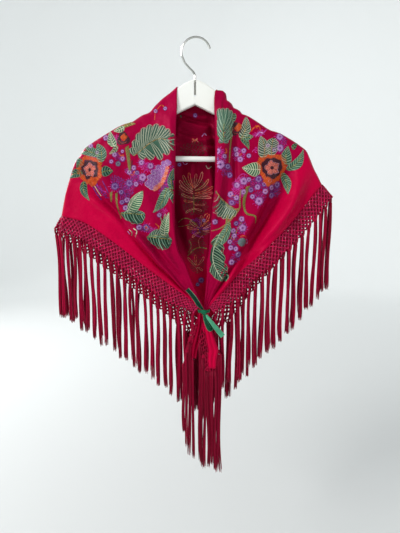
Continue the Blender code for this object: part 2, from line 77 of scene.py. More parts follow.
# Unevenness of the silk: how many waves, their length and their height
WAVES = 14
WAVE_LONG = (26, 75)
WAVE_HIGH = (0.10, 0.26)
SIGN = {"left": -1, "right": 1}
SHOULDER = {
    "left": [
        (43, -91), (58, -102), (72, -115), (82, -126), (94, -130.5), (106, -138), (113, -142.5),
        (126, -146), (140, -152), (163, -165.5), (186, -179.5), (202, -191),
    ],
    "right": [
        (54, -91), (57.5, -104), (65, -108.5), (70, -117), (80, -121), (85, -127), (95, -130), (110, -138.5),
        (126, -148.5), (136, -154), (149, -157.5), (163, -164), (179, -173), (195, -183.5), (202, -189),
    ],
}
OPENING = {
    "left": [(15.4, -484.5), (14.8, -478), (0, -447), (-17, -398), (-34, -340), (-33, -194), (-32, -81)],
    "right": [
        (16.8, -484.5), (17.4, -478), (22, -425), (22, -388), (26, -300), (32, -240), (34, -101), (42, -89.5),
    ],
}
HEM = {
    "left": [(7, -484.5), (6.6, -478.5), (-30, -448), (-84, -408), (-148, -358), (-202, -322), (-249, -309)],
    "right": [(25, -484.5), (25.4, -478.5), (67, -431), (103, -393), (173, -325), (209, -279), (233, -252)],
}
SIDE_FALL = {
    "left": [(-220, -213), (-230, -240), (-240, -270), (-249, -309)],
    "right": [(217, -223), (225, -237), (233, -252)],
}
BACK_NECK = np.array([3.0, 11.0, -107.0])
BACK_TIP = np.array([20.0, 16.0, -523.0])
# Fold columns: at the tie, at the side, width, height, start, stop.
FOLDS = {
    "left": [
        (0.1, 0.05, 0.045, 4.5, 0.2, 0.95), (0.26, 0.17, 0.055, -4, 0.24, 0.86),
        (0.42, 0.34, 0.07, 4.5, 0.12, 0.8), (0.56, 0.5, 0.05, -4, 0.22, 0.74),
        (0.69, 0.62, 0.06, 7, 0.03, 0.97), (0.81, 0.71, 0.038, -8, 0.03, 1.05),
        (0.93, 0.88, 0.06, 3, 0.06, 0.9),
    ],
    "right": [
        (0.12, 0.085, 0.075, 8, 0.36, 1.02), (0.24, 0.18, 0.045, -5, 0.42, 0.97),
        (0.4, 0.36, 0.08, 5, 0.04, 0.84), (0.52, 0.55, 0.05, 3.5, 0.03, 0.8),
        (0.75, 0.71, 0.062, -12, 0.02, 0.97), (0.9, 0.87, 0.07, 7, 0.03, 1),
        (0.93, 0.95, 0.035, -3, 0.25, 0.95),
    ],
}
BACK_FOLDS = [
    (-0.62, -0.45, 0.09, 9, 0.08, 1.05), (-0.47, -0.34, 0.045, -5, 0.1, 1),
    (-0.3, -0.22, 0.07, 4, 0.16, 0.96), (-0.12, -0.1, 0.055, -4.5, 0.12, 1.02),
    (0.05, 0.03, 0.08, 5, 0.2, 1), (0.2, 0.14, 0.05, -4.5, 0.12, 0.98), (0.4, 0.29, 0.085, 7.5, 0.05, 1.05),
    (0.56, 0.42, 0.045, -5.5, 0.1, 1), (0.74, 0.6, 0.07, 5, 0.14, 0.96),
]
# Creases laid one by one. Columns: half width, height forwards, then X,Z of each point seen from the front.
CREASES = {
    "left": [
        (4.4, -4.6, -213, -237, -191, -262, -156, -289, -134, -312, -83, -358, -37, -407, 3, -462),
        (5.5, 4.6, -218, -250, -190, -277, -152, -304, -80, -371, -30, -421),
        (9, 2.2, -150, -262, -118, -296, -74, -336, -28, -390),
        (8, -2.2, -200, -290, -160, -318, -118, -364, -60, -410),
        (9, 1.6, -205, -262, -165, -296, -125, -330, -80, -372),
        (4, 1.4, -44, -120, -43, -190, -45, -260, -42, -330), (6, -1.3, -75, -138, -66, -170, -62, -205),
        (8, -1.5, -118, -152, -104, -190, -98, -236, -80, -290),
        (7, 1.6, -160, -176, -146, -214, -132, -250), (6, -1.8, -232, -250, -224, -282, -212, -306),
        (6, -1.2, -60, -300, -40, -350, -16, -408, 4, -450), (5, 1.5, -96, -330, -58, -376, -14, -428),
    ],
    "right": [
        (3.6, -8, 60, -112, 69, -140, 71, -190, 72, -236, 77, -266),
        (8.5, 5, 56, -100, 57, -150, 58, -214, 56, -276),
        (10.5, -18.5, 172, -216, 151, -262, 131, -302, 112, -345, 98, -378, 82, -408, 48, -456),
        (7.5, 6, 150, -220, 134, -258, 114, -300, 94, -343, 81, -376, 66, -408, 38, -448),
        (9.5, 8, 196, -232, 172, -296, 142, -346, 119, -380, 98, -406, 48, -460),
        (6, -2.4, 208, -246, 187, -304, 158, -342), (9, 1.8, 118, -168, 108, -214, 98, -262, 92, -320),
        (7, -1.3, 84, -156, 80, -200, 84, -246), (7, 1.6, 150, -176, 142, -214, 128, -262),
        (5, 1, 92, -330, 78, -384, 58, -432), (5, 1.8, 225, -250, 214, -268, 196, -300),
    ],
    # The back hangs in shallow sags between the collars, and in long folds from the shoulders.
    "back": [
        (3.4, 5, -34, -118, -4, -128, 36, -132), (2.8, -6, -36, -126, 2, -137, 38, -142),
        (3.6, 5.5, -38, -134, 8, -147, 40, -151), (2.8, -6, -40, -147, -6, -160, 42, -161),
        (3.6, 4.5, -42, -156, 6, -170, 44, -168), (3.2, -5, -46, -166, -2, -182, 50, -176),
        (4.2, 3.2, -50, -168, 4, -188, 52, -172), (4.5, -2.2, -52, -184, 0, -204, 56, -190),
        (6, 3.6, -36, -216, -24, -300, -4, -390), (5, 3.4, 34, -226, 26, -310, 20, -420),
        (8, 4.8, -120, -156, -96, -240, -60, -330, -14, -430),
        (7, -4.6, -168, -186, -150, -240, -112, -326), (6.5, 4.6, -208, -214, -196, -262, -166, -326),
        (7, 4.6, 128, -160, 108, -236, 78, -330, 36, -436), (6.5, -4.4, 172, -190, 156, -240, 116, -328),
        (6.5, 4.2, 210, -218, 198, -262, 166, -312), (5.5, -4.4, -64, -206, -34, -330, 4, -446),
        (6, -4, 66, -200, 48, -330, 26, -450),
    ],
}

# Cloth grid: columns from the free edge to the hem, rows along it, and the rolled lip before the first column
SILK = 0.6
HEM_STEP = 3.4 if FINE else 6.8
WING_LONG = 330
BACK_LONG = 300
RIM_STEPS = 7
COLUMNS = 109 if FINE else 49
LIP_TURN = 7
LIP_FLAT = 4
LIP = LIP_TURN + LIP_FLAT
LIP_LEAST = 0.9
LIP_BACK = 1.0
LIP_FULL = {"left": 4.2, "right": 5.6}
SHARE = np.linspace(0, 1, COLUMNS)
ACROSS = 0.45 * SHARE + 0.55 * SHARE**2

# Net and fringe, as in the solids: the net's depth, its slant and how it changes towards the tie and the tip,
# its rows, then the strands, the nets of the tails, and the tie with the half widths of its band.
NET_DEEP = 28.0
NET_SLANT = 0.8
NET_END = 60.0
NET_AT_TIE = 0.5
NET_AT_TIP = 1.3
NET_ROWS = 7
NET_TOP = 0.6
NET_UNDER = 1.7
CORD_SAG = 0.35
UNEVEN = 0.4
HEAD_FALL = 8.0
STRAND_LONG = 167.0
SWAY = 1.8
CORD_SIDES = 6 if FINE else 4
TAIL_NET = np.array([-10.0, -1.0, -7.0])
TAIL_NET_COLUMNS = 4
TAIL_FOOT_FALL = 9.0
TIE = np.array([16.0, -22.0, -485.0])
BAND_HALF_X = 10.4
BAND_HALF_Y = 7.0
# Tail columns: middle X, middle Z, half width, Y, pleat depth.
TAIL_LEFT = [
    (11, -485.9, 4.2, -21.5, 1.4), (11, -491.5, 4.2, -21, 1.6), (9.5, -508, 5, -23, 1.8),
    (6.5, -526, 6.5, -25, 2), (0.5, -552, 7.5, -26, 1.8), (-3, -574, 6, -26, 1),
]
TAIL_RIGHT = [
    (20.8, -485.9, 4.4, -22.5, 1.4), (20.8, -491.5, 4.4, -22, 1.2), (22, -508, 5.6, -27, 0.9),
    (25.5, -523, 7.6, -30, 0.8), (30, -543, 8.6, -31, 0.8), (33.5, -559, 9.8, -31, 0.9),
    (31.5, -574, 8.2, -31, 0.9), (31.8, -592, 7.6, -31, 0.6),
]
# Strands behind the tails: their X from side to side, how far down each starts, and where they end.
BEHIND_X = np.linspace(-9, 43, 11)
BEHIND_START = ([-9, 0, 6, 28, 36, 43], [-538, -520, -500, -500, -540, -566])
BEHIND_Y = -10.0
BEHIND_END = -684.0

# Camera of the photograph: place in metres, degrees downwards, lens on a tall sensor
CAMERA_AT = (0.00875, -0.752, -0.29073)
CAMERA_DOWN = 8.6
CAMERA_LENS = 27.02
SENSOR = 36.0


def colour(code):
    """Linear colour from a hex code."""
    parts = [int(code[i : i + 2], 16) / 255 for i in (0, 2, 4)]
    return tuple(c / 12.92 if c <= 0.04045 else ((c + 0.055) / 1.055) ** 2.4 for c in parts)


def silks(codes):
    """A set of colours from hex codes."""
    return [colour(code) for code in codes.split()]


def mix(a, b, f):
    return a + (b - a) * f


def ease(x):
    x = np.clip(x, 0.0, 1.0)
    return x * x * (3 - 2 * x)


def unit(v):
    return v / np.maximum(np.linalg.norm(v, axis=-1, keepdims=True), 1e-9)


def size_of(v):
    return np.linalg.norm(v, axis=-1)


def steps_of(points):
    """Distances from each point to the next."""
    return size_of(np.diff(points, axis=0))


def curve(points, f):
    """Points of the smooth curve through the points, each f of the way along by straight distance."""
    p = np.asarray(points, float)
    f = np.asarray(f, float)
    lengths = steps_of(p)
    ends = np.concatenate([[0], np.cumsum(lengths)])
    t = f * ends[-1]
    k = np.clip(np.searchsorted(ends, t, side="right") - 1, 0, len(lengths) - 1)
    u = ((t - ends[k]) / lengths[k])[..., None]
    p = np.vstack([2 * p[0] - p[1], p, 2 * p[-1] - p[-2]])
    a, b, c, d = p[k], p[k + 1], p[k + 2], p[k + 3]
    return 0.5 * (2 * b + (c - a) * u + (2 * a - 5 * b + 4 * c - d) * u**2 + (3 * b - a - 3 * c + d) * u**3)


def grid_quads(rows, columns):
    i, j = np.meshgrid(np.arange(rows - 1), np.arange(columns - 1), indexing="ij")
    a = (i * columns + j).ravel()
    return np.column_stack([a, a + columns, a + columns + 1, a + 1])


def ring_quads(rings, sides):
    """Quads between rings of points, each ring closed on itself."""
    i, j = np.meshgrid(np.arange(rings - 1), np.arange(sides), indexing="ij")
    a = (i * sides + j).ravel()
    b = (i * sides + (j + 1) % sides).ravel()
    return np.column_stack([a, a + sides, b + sides, b])


def link_object(name, data):
    item = bpy.data.objects.new(name, data)
    bpy.context.scene.collection.objects.link(item)
    return item


class Pile:
    """Points, quads and colours gathered for one mesh."""

    def __init__(self):
        self.points = []
        self.quads = []
        self.colours = []
        self.count = 0

    def add(self, points, quads, shade):
        points = np.asarray(points, float).reshape(-1, 3)
        self.points.append(points)
        self.quads.append(np.asarray(quads, int).reshape(-1, 4) + self.count)
        shade = np.asarray(shade, float)
        self.colours.append(np.broadcast_to(shade, (len(points), 3)) if shade.ndim == 1 else shade)
        self.count += len(points)

    def add_many(self, items, quads, shades):
        """Adds many items with the same quads, each with points and a shade of its own."""
        size = items[0].size // 3
        every = quads[None] + (np.arange(len(items)) * size)[:, None, None]
        self.add(items, every, np.repeat(shades, size, axis=0))

    def place(self, name, material, slot, *nodes):
        """Makes the piece, on the root body, in the place of the nodes."""
        shades = np.concatenate(self.colours)
        mesh = bpy.data.meshes.new(name)
        mesh.from_pydata((np.concatenate(self.points) * MM).tolist(), [], np.concatenate(self.quads).tolist())
        layer = mesh.color_attributes.new("thread", "FLOAT_COLOR", "POINT")
        layer.data.foreach_set("color", np.column_stack([shades, np.ones(len(shades))]).ravel())
        mesh.shade_smooth()
        mesh.materials.append(material)
        piece = link_object(name, mesh)
        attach(piece, "root")
        if nodes:
            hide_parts(*nodes)
        return piece


# Cloth surface


def side_line(side):
    """The line where a wing passes over the shoulder: collar, along the arm, then down the side."""
    sign = SIGN[side]
    start = OPENING[side][-1]
    over = [(sign * x, z - sign * x * math.tan(TILT)) for x, z in SHOULDER[side] if x > abs(start[0]) + 5]
    turn = [(sign * (ARM_END + 6), SHOULDER_END - sign * ARM_END * math.tan(TILT))]
    return [start] + over + turn + SIDE_FALL[side]


LINES = {side: side_line(side) for side in SIGN}


def fold_sum(folds, along, across, fade_in, fade_out):
    total = np.zeros(np.broadcast(along, across).shape)
    for at_tie, at_side, width, height, start, stop in folds:
        middle = mix(at_tie, at_side, along)
        fade = ease((along - start) / fade_in) * ease((stop - along) / fade_out)
        total = total + height * fade * np.exp(-(((across - middle) / width) ** 2))
    return total


def crease_sum(creases, flat):
    """Height of the listed creases at points seen from the front. Each dies out at its two ends."""
    total = np.zeros(flat.shape[:-1])
    for width, height, *line in creases:
        points = np.reshape(line, (-1, 2))
        steps = curve(points, np.linspace(0, 1, 4 * len(points)))
        nearest = np.full(flat.shape[:-1], 1e9)
        place = np.zeros(flat.shape[:-1])
        for k, (a, b) in enumerate(zip(steps[:-1], steps[1:])):
            f = np.clip(((flat - a) @ (b - a)) / ((b - a) @ (b - a)), 0, 1)
            away = size_of(flat - (a + f[..., None] * (b - a)))
            closer = away < nearest
            nearest = np.where(closer, away, nearest)
            place = np.where(closer, (k + f) / (len(steps) - 1), place)
        fade = ease(place / CREASE_FADE) * ease((1 - place) / CREASE_FADE)
        total += height * fade * np.exp(-((nearest / width) ** 2))
    return total


def ripple(flat, seed):
    """Slow, shallow unevenness of a hand-stitched silk panel."""
    chance = np.random.default_rng(seed)
    total = np.zeros(flat.shape[:-1])
    for _ in range(WAVES):
        angle = chance.uniform(0, math.tau)
        wave = chance.uniform(*WAVE_LONG)
        phase = chance.uniform(0, math.tau)
        along = flat[..., 0] * math.cos(angle) + flat[..., 1] * math.sin(angle)
        total += chance.uniform(*WAVE_HIGH) * np.sin(along * math.tau / wave + phase)
    return total


def rounding(flat, edge):
    """How far in from the shoulder line, up to 1 past the rounding, and how far out the round lies there."""
    inside = np.minimum(size_of(flat - edge), ROUND) / ROUND
    return ease(inside), ROUND * np.sqrt(np.maximum(1 - (1 - inside) ** 2, 0))


def wing_flat(side, along, across):
    """Points of a wing seen from the front, and the shoulder line's point for each."""
    opening = curve(OPENING[side], along)
    hem = curve(HEM[side], along)
    line = curve(LINES[side], across)
    s = along[..., None]
    c = across[..., None]
    tie = mix(np.array(OPENING[side][0]), np.array(HEM[side][0]), c)
    ends = mix(np.array(LINES[side][0]), np.array(LINES[side][-1]), c)
    return mix(opening, hem, c) + mix(tie, line, s) - mix(tie, ends, s), line


def wing_point(side, along, across):
    """Points of a wing: rounded over the shoulder line, folded, and drawn in to the tie."""
    along, across = np.broadcast_arrays(np.asarray(along, float), np.asarray(across, float))
    flat, line = wing_flat(side, along, across)
    inside, over = rounding(flat, line)
    depth = mix(FRONT_DEPTH - ROUND, 0, along) + BULGE * np.sin(math.pi * np.clip(along, 0, 1)) ** 0.8
    calm = ease((1 - along) / CALM)
    folds = fold_sum(FOLDS[side], along, across, *WING_FADE) * np.minimum(1.0, 0.35 + 3 * along)
    if side == "right":
        pressed = np.exp(-(((along - PRESSED_AT) / PRESSED_WIDE) ** 2))
        folds = folds * (1 - PRESSED_BY * pressed * ease((PRESSED_END - across) / 0.15))
    extra = crease_sum(CREASES[side], flat) + ripple(flat, 3 + SIGN[side])
    pleats = PLEAT_HIGH[side] * np.sin(math.tau * PLEATS * across + 0.7)
    pleats = pleats * np.exp(-((along / PLEAT_LONG) ** 1.5))
    y = -over - depth * calm - folds * inside - (extra + pleats) * inside * ease(along / 0.06)
    # No crease reaches back into the hanger's arm or bar.
    clear = ARM_CLEAR * inside * ease((flat[..., 1] - BELOW_ARM) / 20)
    return np.stack([flat[..., 0], np.minimum(y, -clear), flat[..., 1]], axis=-1)


def back_point(down, across):
    """Points of the back: down from its neck edge to its hem, across from -1 at the left to 1."""
    down, across = np.broadcast_arrays(np.asarray(down, float), np.asarray(across, float))
    edge = np.where((across < 0)[..., None], curve(LINES["left"], down), curve(LINES["right"], down))
    middle = mix(BACK_NECK, BACK_TIP, down[..., None])
    f = np.abs(across)
    flat = mix(middle[..., [0, 2]], edge, f[..., None])
    inside, over = rounding(flat, edge)
    depth = (BACK_DEPTH - ROUND) * (1 - f**2) * inside
    folds = fold_sum(BACK_FOLDS, down, across, *BACK_FADE)
    extra = -crease_sum(CREASES["back"], flat) + ripple(flat, 9)
    y = over + depth + (folds + extra) * inside
    return np.stack([flat[..., 0], np.maximum(y, 0), flat[..., 1]], axis=-1)


def lip_radius(row, side, span):
    """How far the free edge rolls inwards, for each row of a wing or the back."""
    if side == "back":
        return np.full(len(row), LIP_BACK)
    more = LIP_FULL[side] - LIP_LEAST
    return LIP_LEAST + more * ease(row / 0.25) * ease((0.97 - row) / 0.2) * ease(span / 60)


def strip_rows(side, rows):
    """One stretch of the shawl as a grid: rolled lip, then the cloth from its free edge to its hem."""

    def point(r, v):
        return back_point(v, r) if side == "back" else wing_point(side, r, v)

    first = rows[:, 0]
    span = size_of(point(first, np.ones(len(rows))) - point(first, np.zeros(len(rows))))
    rolled = lip_radius(np.abs(first), side, span)
    start = np.minimum(rolled / span, 0.2)
    grid = point(rows, start[:, None] + (1 - start[:, None]) * ACROSS[None, :])
    edge = grid[:, 0]
    inward = unit(grid[:, 1] - grid[:, 0])
    normal = unit(np.cross(unit(np.gradient(edge, axis=0)), inward))
    # The edge rolls towards the hanger on every stretch.
    normal = normal * np.sign(normal[:, 1:2].mean()) * (1 if side == "back" else -1)
    turn = np.linspace(math.pi, 0, LIP_TURN + 1)[None, :-1, None]
    r = rolled[:, None, None]
    sides = inward[:, None]
    out = normal[:, None]
    roll = edge[:, None] - sides * r * np.sin(turn) - out * r * (1 - np.cos(turn))
    reach = np.linspace(1, 0, LIP_FLAT + 1)[None, :-1, None] * (1.2 + 1.9 * r)
    level = sides.copy()
    if side != "back":
        level[..., 1] = np.maximum(level[..., 1], 0.0)
    return np.concatenate([edge[:, None] - out * 2 * r + level * reach, roll, grid], axis=1)


def column_rows(long, lengths):
    """Rows of one wing or half back for each column: even steps, then the turn over the shoulder. long is
    its usual length, and lengths those of the columns."""
    turn = ROUND * (1 - np.cos(np.radians(np.linspace(82, 0, RIM_STEPS + 1))))
    near = 1 - turn[None, :] / lengths[:, None]
    body = np.linspace(0, 1, int(long / HEM_STEP))[None, :-1] * near[:, :1]
    return np.concatenate([body, near], axis=1).T


def wing_rows(side):
    ends = wing_flat(side, np.ones(COLUMNS), ACROSS)[0] - wing_flat(side, np.zeros(COLUMNS), ACROSS)[0]
    return column_rows(WING_LONG, size_of(ends))


def back_rows(side):
    middle = mix(BACK_NECK, BACK_TIP, ACROSS[:, None])[:, [0, 2]]
    return column_rows(BACK_LONG, size_of(curve(LINES[side], ACROSS) - middle))


def shawl_grid():
    """The whole shawl as one grid from its left corner over the shoulders to its right corner."""
    left = strip_rows("left", wing_rows("left"))
    right = strip_rows("right", wing_rows("right"))[::-1]
    back = strip_rows("back", np.concatenate([-back_rows("left")[::-1], back_rows("right")[1:]]))
    # The rows on the shoulder lines are shared.
    back[0] = (back[0] + left[-1]) / 2
    back[-1] = (back[-1] + right[0]) / 2
    grid = np.concatenate([left[:-1], back, right[1:]])
    return grid, len(left) - 1, len(left) + len(back) - 2


def smooth_grid(grid, rounds):
    """Evens out small kinks between neighbouring rows without moving the rim or the lip."""
    for _ in range(rounds):
        middle = grid[1:-1, 1:-1]
        around = (grid[:-2, 1:-1] + grid[2:, 1:-1] + grid[1:-1, :-2] + grid[1:-1, 2:]) / 4
        fresh = mix(middle, around, 0.5)
        fresh[:, : LIP - 1] = middle[:, : LIP - 1]
        grid[1:-1, 1:-1] = fresh


def cloth_shell(pile, grid, thick, shade, wrong=None):
    """A closed thin shell around a grid, its right side on the side of the grid's normals. Where the other
    side has painted shade of its own, wrong gives it."""
    rows, columns = grid.shape[:2]
    normal = unit(np.cross(np.gradient(grid, axis=0), np.gradient(grid, axis=1))) * thick / 2
    size = rows * columns
    outer = grid_quads(rows, columns)
    quads = [outer, outer[:, ::-1] + size]
    number = np.arange(size).reshape(rows, columns)
    for line, step in ((number[0], 1), (number[-1], -1), (number[:, 0], -1), (number[:, -1], 1)):
        a, b = line[:-1], line[1:]
        quads.append(np.column_stack([a, b, b + size, a + size])[:, ::step])
    if wrong is not None:
        shade = np.concatenate([shade, wrong])
    points = np.concatenate([(grid + normal).reshape(-1, 3), (grid - normal).reshape(-1, 3)])
    pile.add(points, np.concatenate(quads), shade)


# Painted shade on the silk where the flowers are sewn, as the turned plain hem catches more light,
# and painted light along the plain hem; painted shade on the wrong side, which lies in shadow; where the
# plain hem begins, and below which height the wrong side lies in the light and gets painted light
SEWN_PAINTED_SHADE = np.array([0.66, 0.8, 0.92])
HEM_PAINTED_LIGHT = np.array([0.98, 1.0, 1.0])
WRONG_SIDE_PAINTED_SHADE = np.array([0.62, 0.52, 0.50])
HEM_FROM = 0.70
LIT_BELOW = -345
LIT_BY = 2.1


def silk_shades(grid):
    """Shades of the right and the wrong side: painted shade where the flowers are sewn and on the wrong
    side, and painted light on the wrong side low down.
    """
    plain = ease((np.concatenate([np.zeros(LIP), ACROSS]) - HEM_FROM) / 0.10)
    # Painted shade darkens the silk where the flowers are sewn; the plain hem keeps painted light.
    painted_shade = mix(SEWN_PAINTED_SHADE, HEM_PAINTED_LIGHT, plain[:, None])
    face = np.repeat(painted_shade[None], len(grid), axis=0).reshape(-1, 3)
    # The wrong side carries painted shade, lightened low down as painted light.
    low = ease((LIT_BELOW - grid[:, :, 2].reshape(-1, 1)) / 70)
    return face, face * WRONG_SIDE_PAINTED_SHADE * mix(1.0, LIT_BY, low)


# Stitches: the height of their sides, and how far one may drop along and across, or a ground between its
# corners, before it would bridge a gap. STEEP is the least share of the cloth's normal towards the viewer,
# GOLDEN_TURN spreads places evenly over a round, and CLOSE is the pitch of close satin stitches.
STITCH_SIDE = 0.04
DROP_ALONG = 12
DROP_ACROSS = 7
DROP_GROUND = 13
STEEP = 0.09
GOLDEN_TURN = 2.39996
CLOSE = 1.25
draw = np.random.default_rng(11)


class Sewing:
    """Stitches gathered for one mesh, on cloth seen from the front or from behind. It has a grid for each of
    its halves, or one for both."""

    def __init__(self, towards, *grids):
        self.towards = towards
        self.pile = Pile()
        self.trees = []
        for grid in grids:
            quads = grid_quads(*grid.shape[:2]).tolist()
            self.trees.append(BVHTree.FromPolygons(grid.reshape(-1, 3).tolist(), quads))

    def find(self, spot, lift):
        """The point above the cloth under a place X,Z, or None off the cloth or where it is steep."""
        x, z = spot
        start = Vector((x, -200 * self.towards, z))
        hit, normal, _, _ = self.trees[0 if x < 0 else -1].ray_cast(start, Vector((0, self.towards, 0)))
        if hit is None or abs(normal.y) < STEEP:
            return None
        if normal.y * self.towards > 0:
            normal = -normal
        return hit + normal * (SILK / 2 + lift)

    def strip(self, path, width, shade, lift, taper=0.45):
        """One flat bundle of silk along a path of X,Z points: low at its sides, raised along its middle and
        narrower at its ends. It is left out where it would bridge a gap."""
        path = np.asarray(path, float)
        count = len(path)
        along = np.gradient(path, axis=0)
        normal = unit(np.column_stack([along[:, 1], -along[:, 0]]))
        share = np.linspace(0, 1, count)
        half = width / 2 * (taper + (1 - taper) * np.minimum(1, 4 * np.minimum(share, 1 - share) + 0.25))
        points = []
        for k in range(count):
            raised = lift if 0 < k < count - 1 else lift * 0.5
            for offset, height in ((-1, 0.0), (0, raised), (1, 0.0)):
                point = self.find(path[k] + normal[k] * half[k] * offset, STITCH_SIDE + height)
                if point is None:
                    return
                points.append(tuple(point))
        depths = np.array(points)[:, 1].reshape(-1, 3)
        drop = np.abs(np.diff(depths[:, 1])).max()
        if drop > DROP_ALONG or np.abs(np.diff(depths, axis=1)).max() > DROP_ACROSS:
            return
        quads = grid_quads(count, 3)[:, [0, 3, 2, 1]]
        self.pile.add(points, quads[:, :: self.towards], shade)

    def ground(self, places, lift, shade):
        """A ground between rows of four places X,Z each, so that no cloth shows between the stitches."""
        spots = [self.find(place, lift) for place in places]
        for a in range(len(spots) - 4):
            four = [spots[a], spots[a + 1], spots[a + 5], spots[a + 4]] if a % 4 < 3 else [None]
            if any(p is None for p in four) or max(p.y for p in four) - min(p.y for p in four) > DROP_GROUND:
                continue
            facing = (four[1] - four[0]).cross(four[2] - four[0]).y
            if facing * self.towards > 0:
                four = four[::-1]
            self.pile.add([tuple(p) for p in four], [(0, 1, 2, 3)], shade)


# Silk colours of the stitching
PALE_LEAF = silks("cfd8b4 8fb390 5d9474 b9c99f 7da888")
OLIVE = silks("8d8a3c 6d7430 b09a4c 545e28 a58e46")
TAN = silks("b98d4e 8f7a3a c9a468 6f6a30")
ORANGE = silks("dc480a ee5e10 c83606 ee7620 d44008")
WINE = silks("4a0420 33021a 5c0a2c 2a0418")
PEACH = silks("ec806c dc6056 fca08c cc4c48")
LAVENDER = silks("cc86d0 b268b8 dca6de bc74c2")
PALE_LILAC = colour("f0dcf2")
PURPLE = silks("6a2080 7c2c96 521668")
MAGENTA = silks("d22aa6 b5188c c9389f")
PLUM = silks("8a4fa8 743a92 9c62b4")
CORAL = silks("ff7a4c f0583a ff9a70 e8483a")
CREAM = silks("dfe0c4 c8cfae")
SALMON = silks("e8766a d85a58 f08c78")
BUD = silks("6f9080 587868 7d5f8c")
# Dark silks scattered over the inside of the back as painted shade
DUSK_PAINTED_SHADE = silks("4a2a1c 3a3a22 5a2030 40301c")
# Silks of a leaf: its ground, its pale rays and outline, and its rib
LEAF_STYLES = {
    "sage": (silks("36604c 44705a 2c543f"), silks("cccdb6 b8b9a2 d8d8c0"), TAN),
    "deep": (silks("123e2e 1a4a38 0c3224"), silks("90ac8c 7a9a7c a8c09c"), CREAM),
    "mist": (silks("4c7862 5a8670 40684f"), silks("b4c6ac 9cb49c c2d0b6"), OLIVE),
    "dark": (silks("0f3e2c 164a35 0a3020"), silks("7ea48c 5e8e72 92b496"), OLIVE),
    "pale": (silks("3f7a58 578c68 2f6a4a"), silks("dfe4c0 ccd8b0 eaead0"), CREAM),
    "grey": (silks("2c604a 3c7058 22523c"), silks("98b294 7c9e82"), OLIVE),
    "olive": (silks("6d7430 8a8a3a 575f28"), silks("b9a860 a39a4c"), TAN),
}


def tone(tones, k):
    """The k-th silk of a set, a little lighter or darker each time."""
    return np.array(tones[k % len(tones)]) * draw.uniform(0.62, 0.84)


def heading(angle):
    return np.array([math.cos(angle), math.sin(angle)])


def turned(x, z, angle, along, across):
    """The place X,Z at a distance along and across a direction, given as an angle in degrees."""
    a = math.radians(angle)
    place_x = x + along * math.cos(a) - across * math.sin(a)
    return np.array([place_x, z + along * math.sin(a) + across * math.cos(a)])


def way(foot, tip):
    """The foot as an array, then the length, the direction and the left-hand normal of the way to the tip."""
    foot = np.asarray(foot, float)
    reach = np.asarray(tip, float) - foot
    length = np.linalg.norm(reach)
    ahead = reach / length
    return foot, length, ahead, np.array([-ahead[1], ahead[0]])


def radius(r):
    """A radius as a function of the angle, from such a function or from a number."""
    return r if callable(r) else lambda a: r


def circle(x, z, r, angles):
    """Points round a place."""
    away = radius(r)
    return [(x + away(a) * math.cos(a), z + away(a) * math.sin(a)) for a in angles]


def stitch_line(on, line, width, tones, step=5.0, lift=0.55):
    """Stem stitch: short overlapping stitches along a line."""
    line = np.asarray(line, float)
    count = max(1, int(steps_of(line).sum() / step))
    for k in range(count):
        f = np.linspace(k / count - 0.25 / count, (k + 1) / count + 0.25 / count, 4)
        on.strip(curve(line, np.clip(f, 0, 1)), width, tone(tones, k), lift)


def rim(on, x, z, r, width, tones, step, lift, corners=24):
    """Stem stitch all round a place."""
    stitch_line(on, circle(x, z, r, np.linspace(0, math.tau, corners)), width, tones, step, lift)


def thread(on, width, tones, *line):
    """One line of stem stitch. The line is the X and Z of each of its points, here and in a stem."""
    stitch_line(on, np.reshape(line, (-1, 2)), width, tones, 4.0)


def stem(on, wide, narrow, tones, *line):
    """A stem in slanting satin stitches from edge to edge, narrowing along its length."""
    line = np.reshape(line, (-1, 2)).astype(float)
    count = max(3, int(steps_of(line).sum() / 0.95))
    f = (np.arange(count) + 0.5) / count
    middle = curve(line, f)
    ahead = unit(curve(line, np.minimum(f + 0.01, 1)) - curve(line, np.maximum(f - 0.01, 0)))
    normal = np.column_stack([ahead[:, 1], -ahead[:, 0]])
    half = mix(wide, narrow, f)[:, None] / 2
    a = middle - normal * half - ahead * half * 0.6
    b = middle + normal * half + ahead * half * 0.6
    for k in range(count):
        on.strip([a[k], (a[k] + b[k]) / 2, b[k]], CLOSE, tone(tones, k), 0.7)


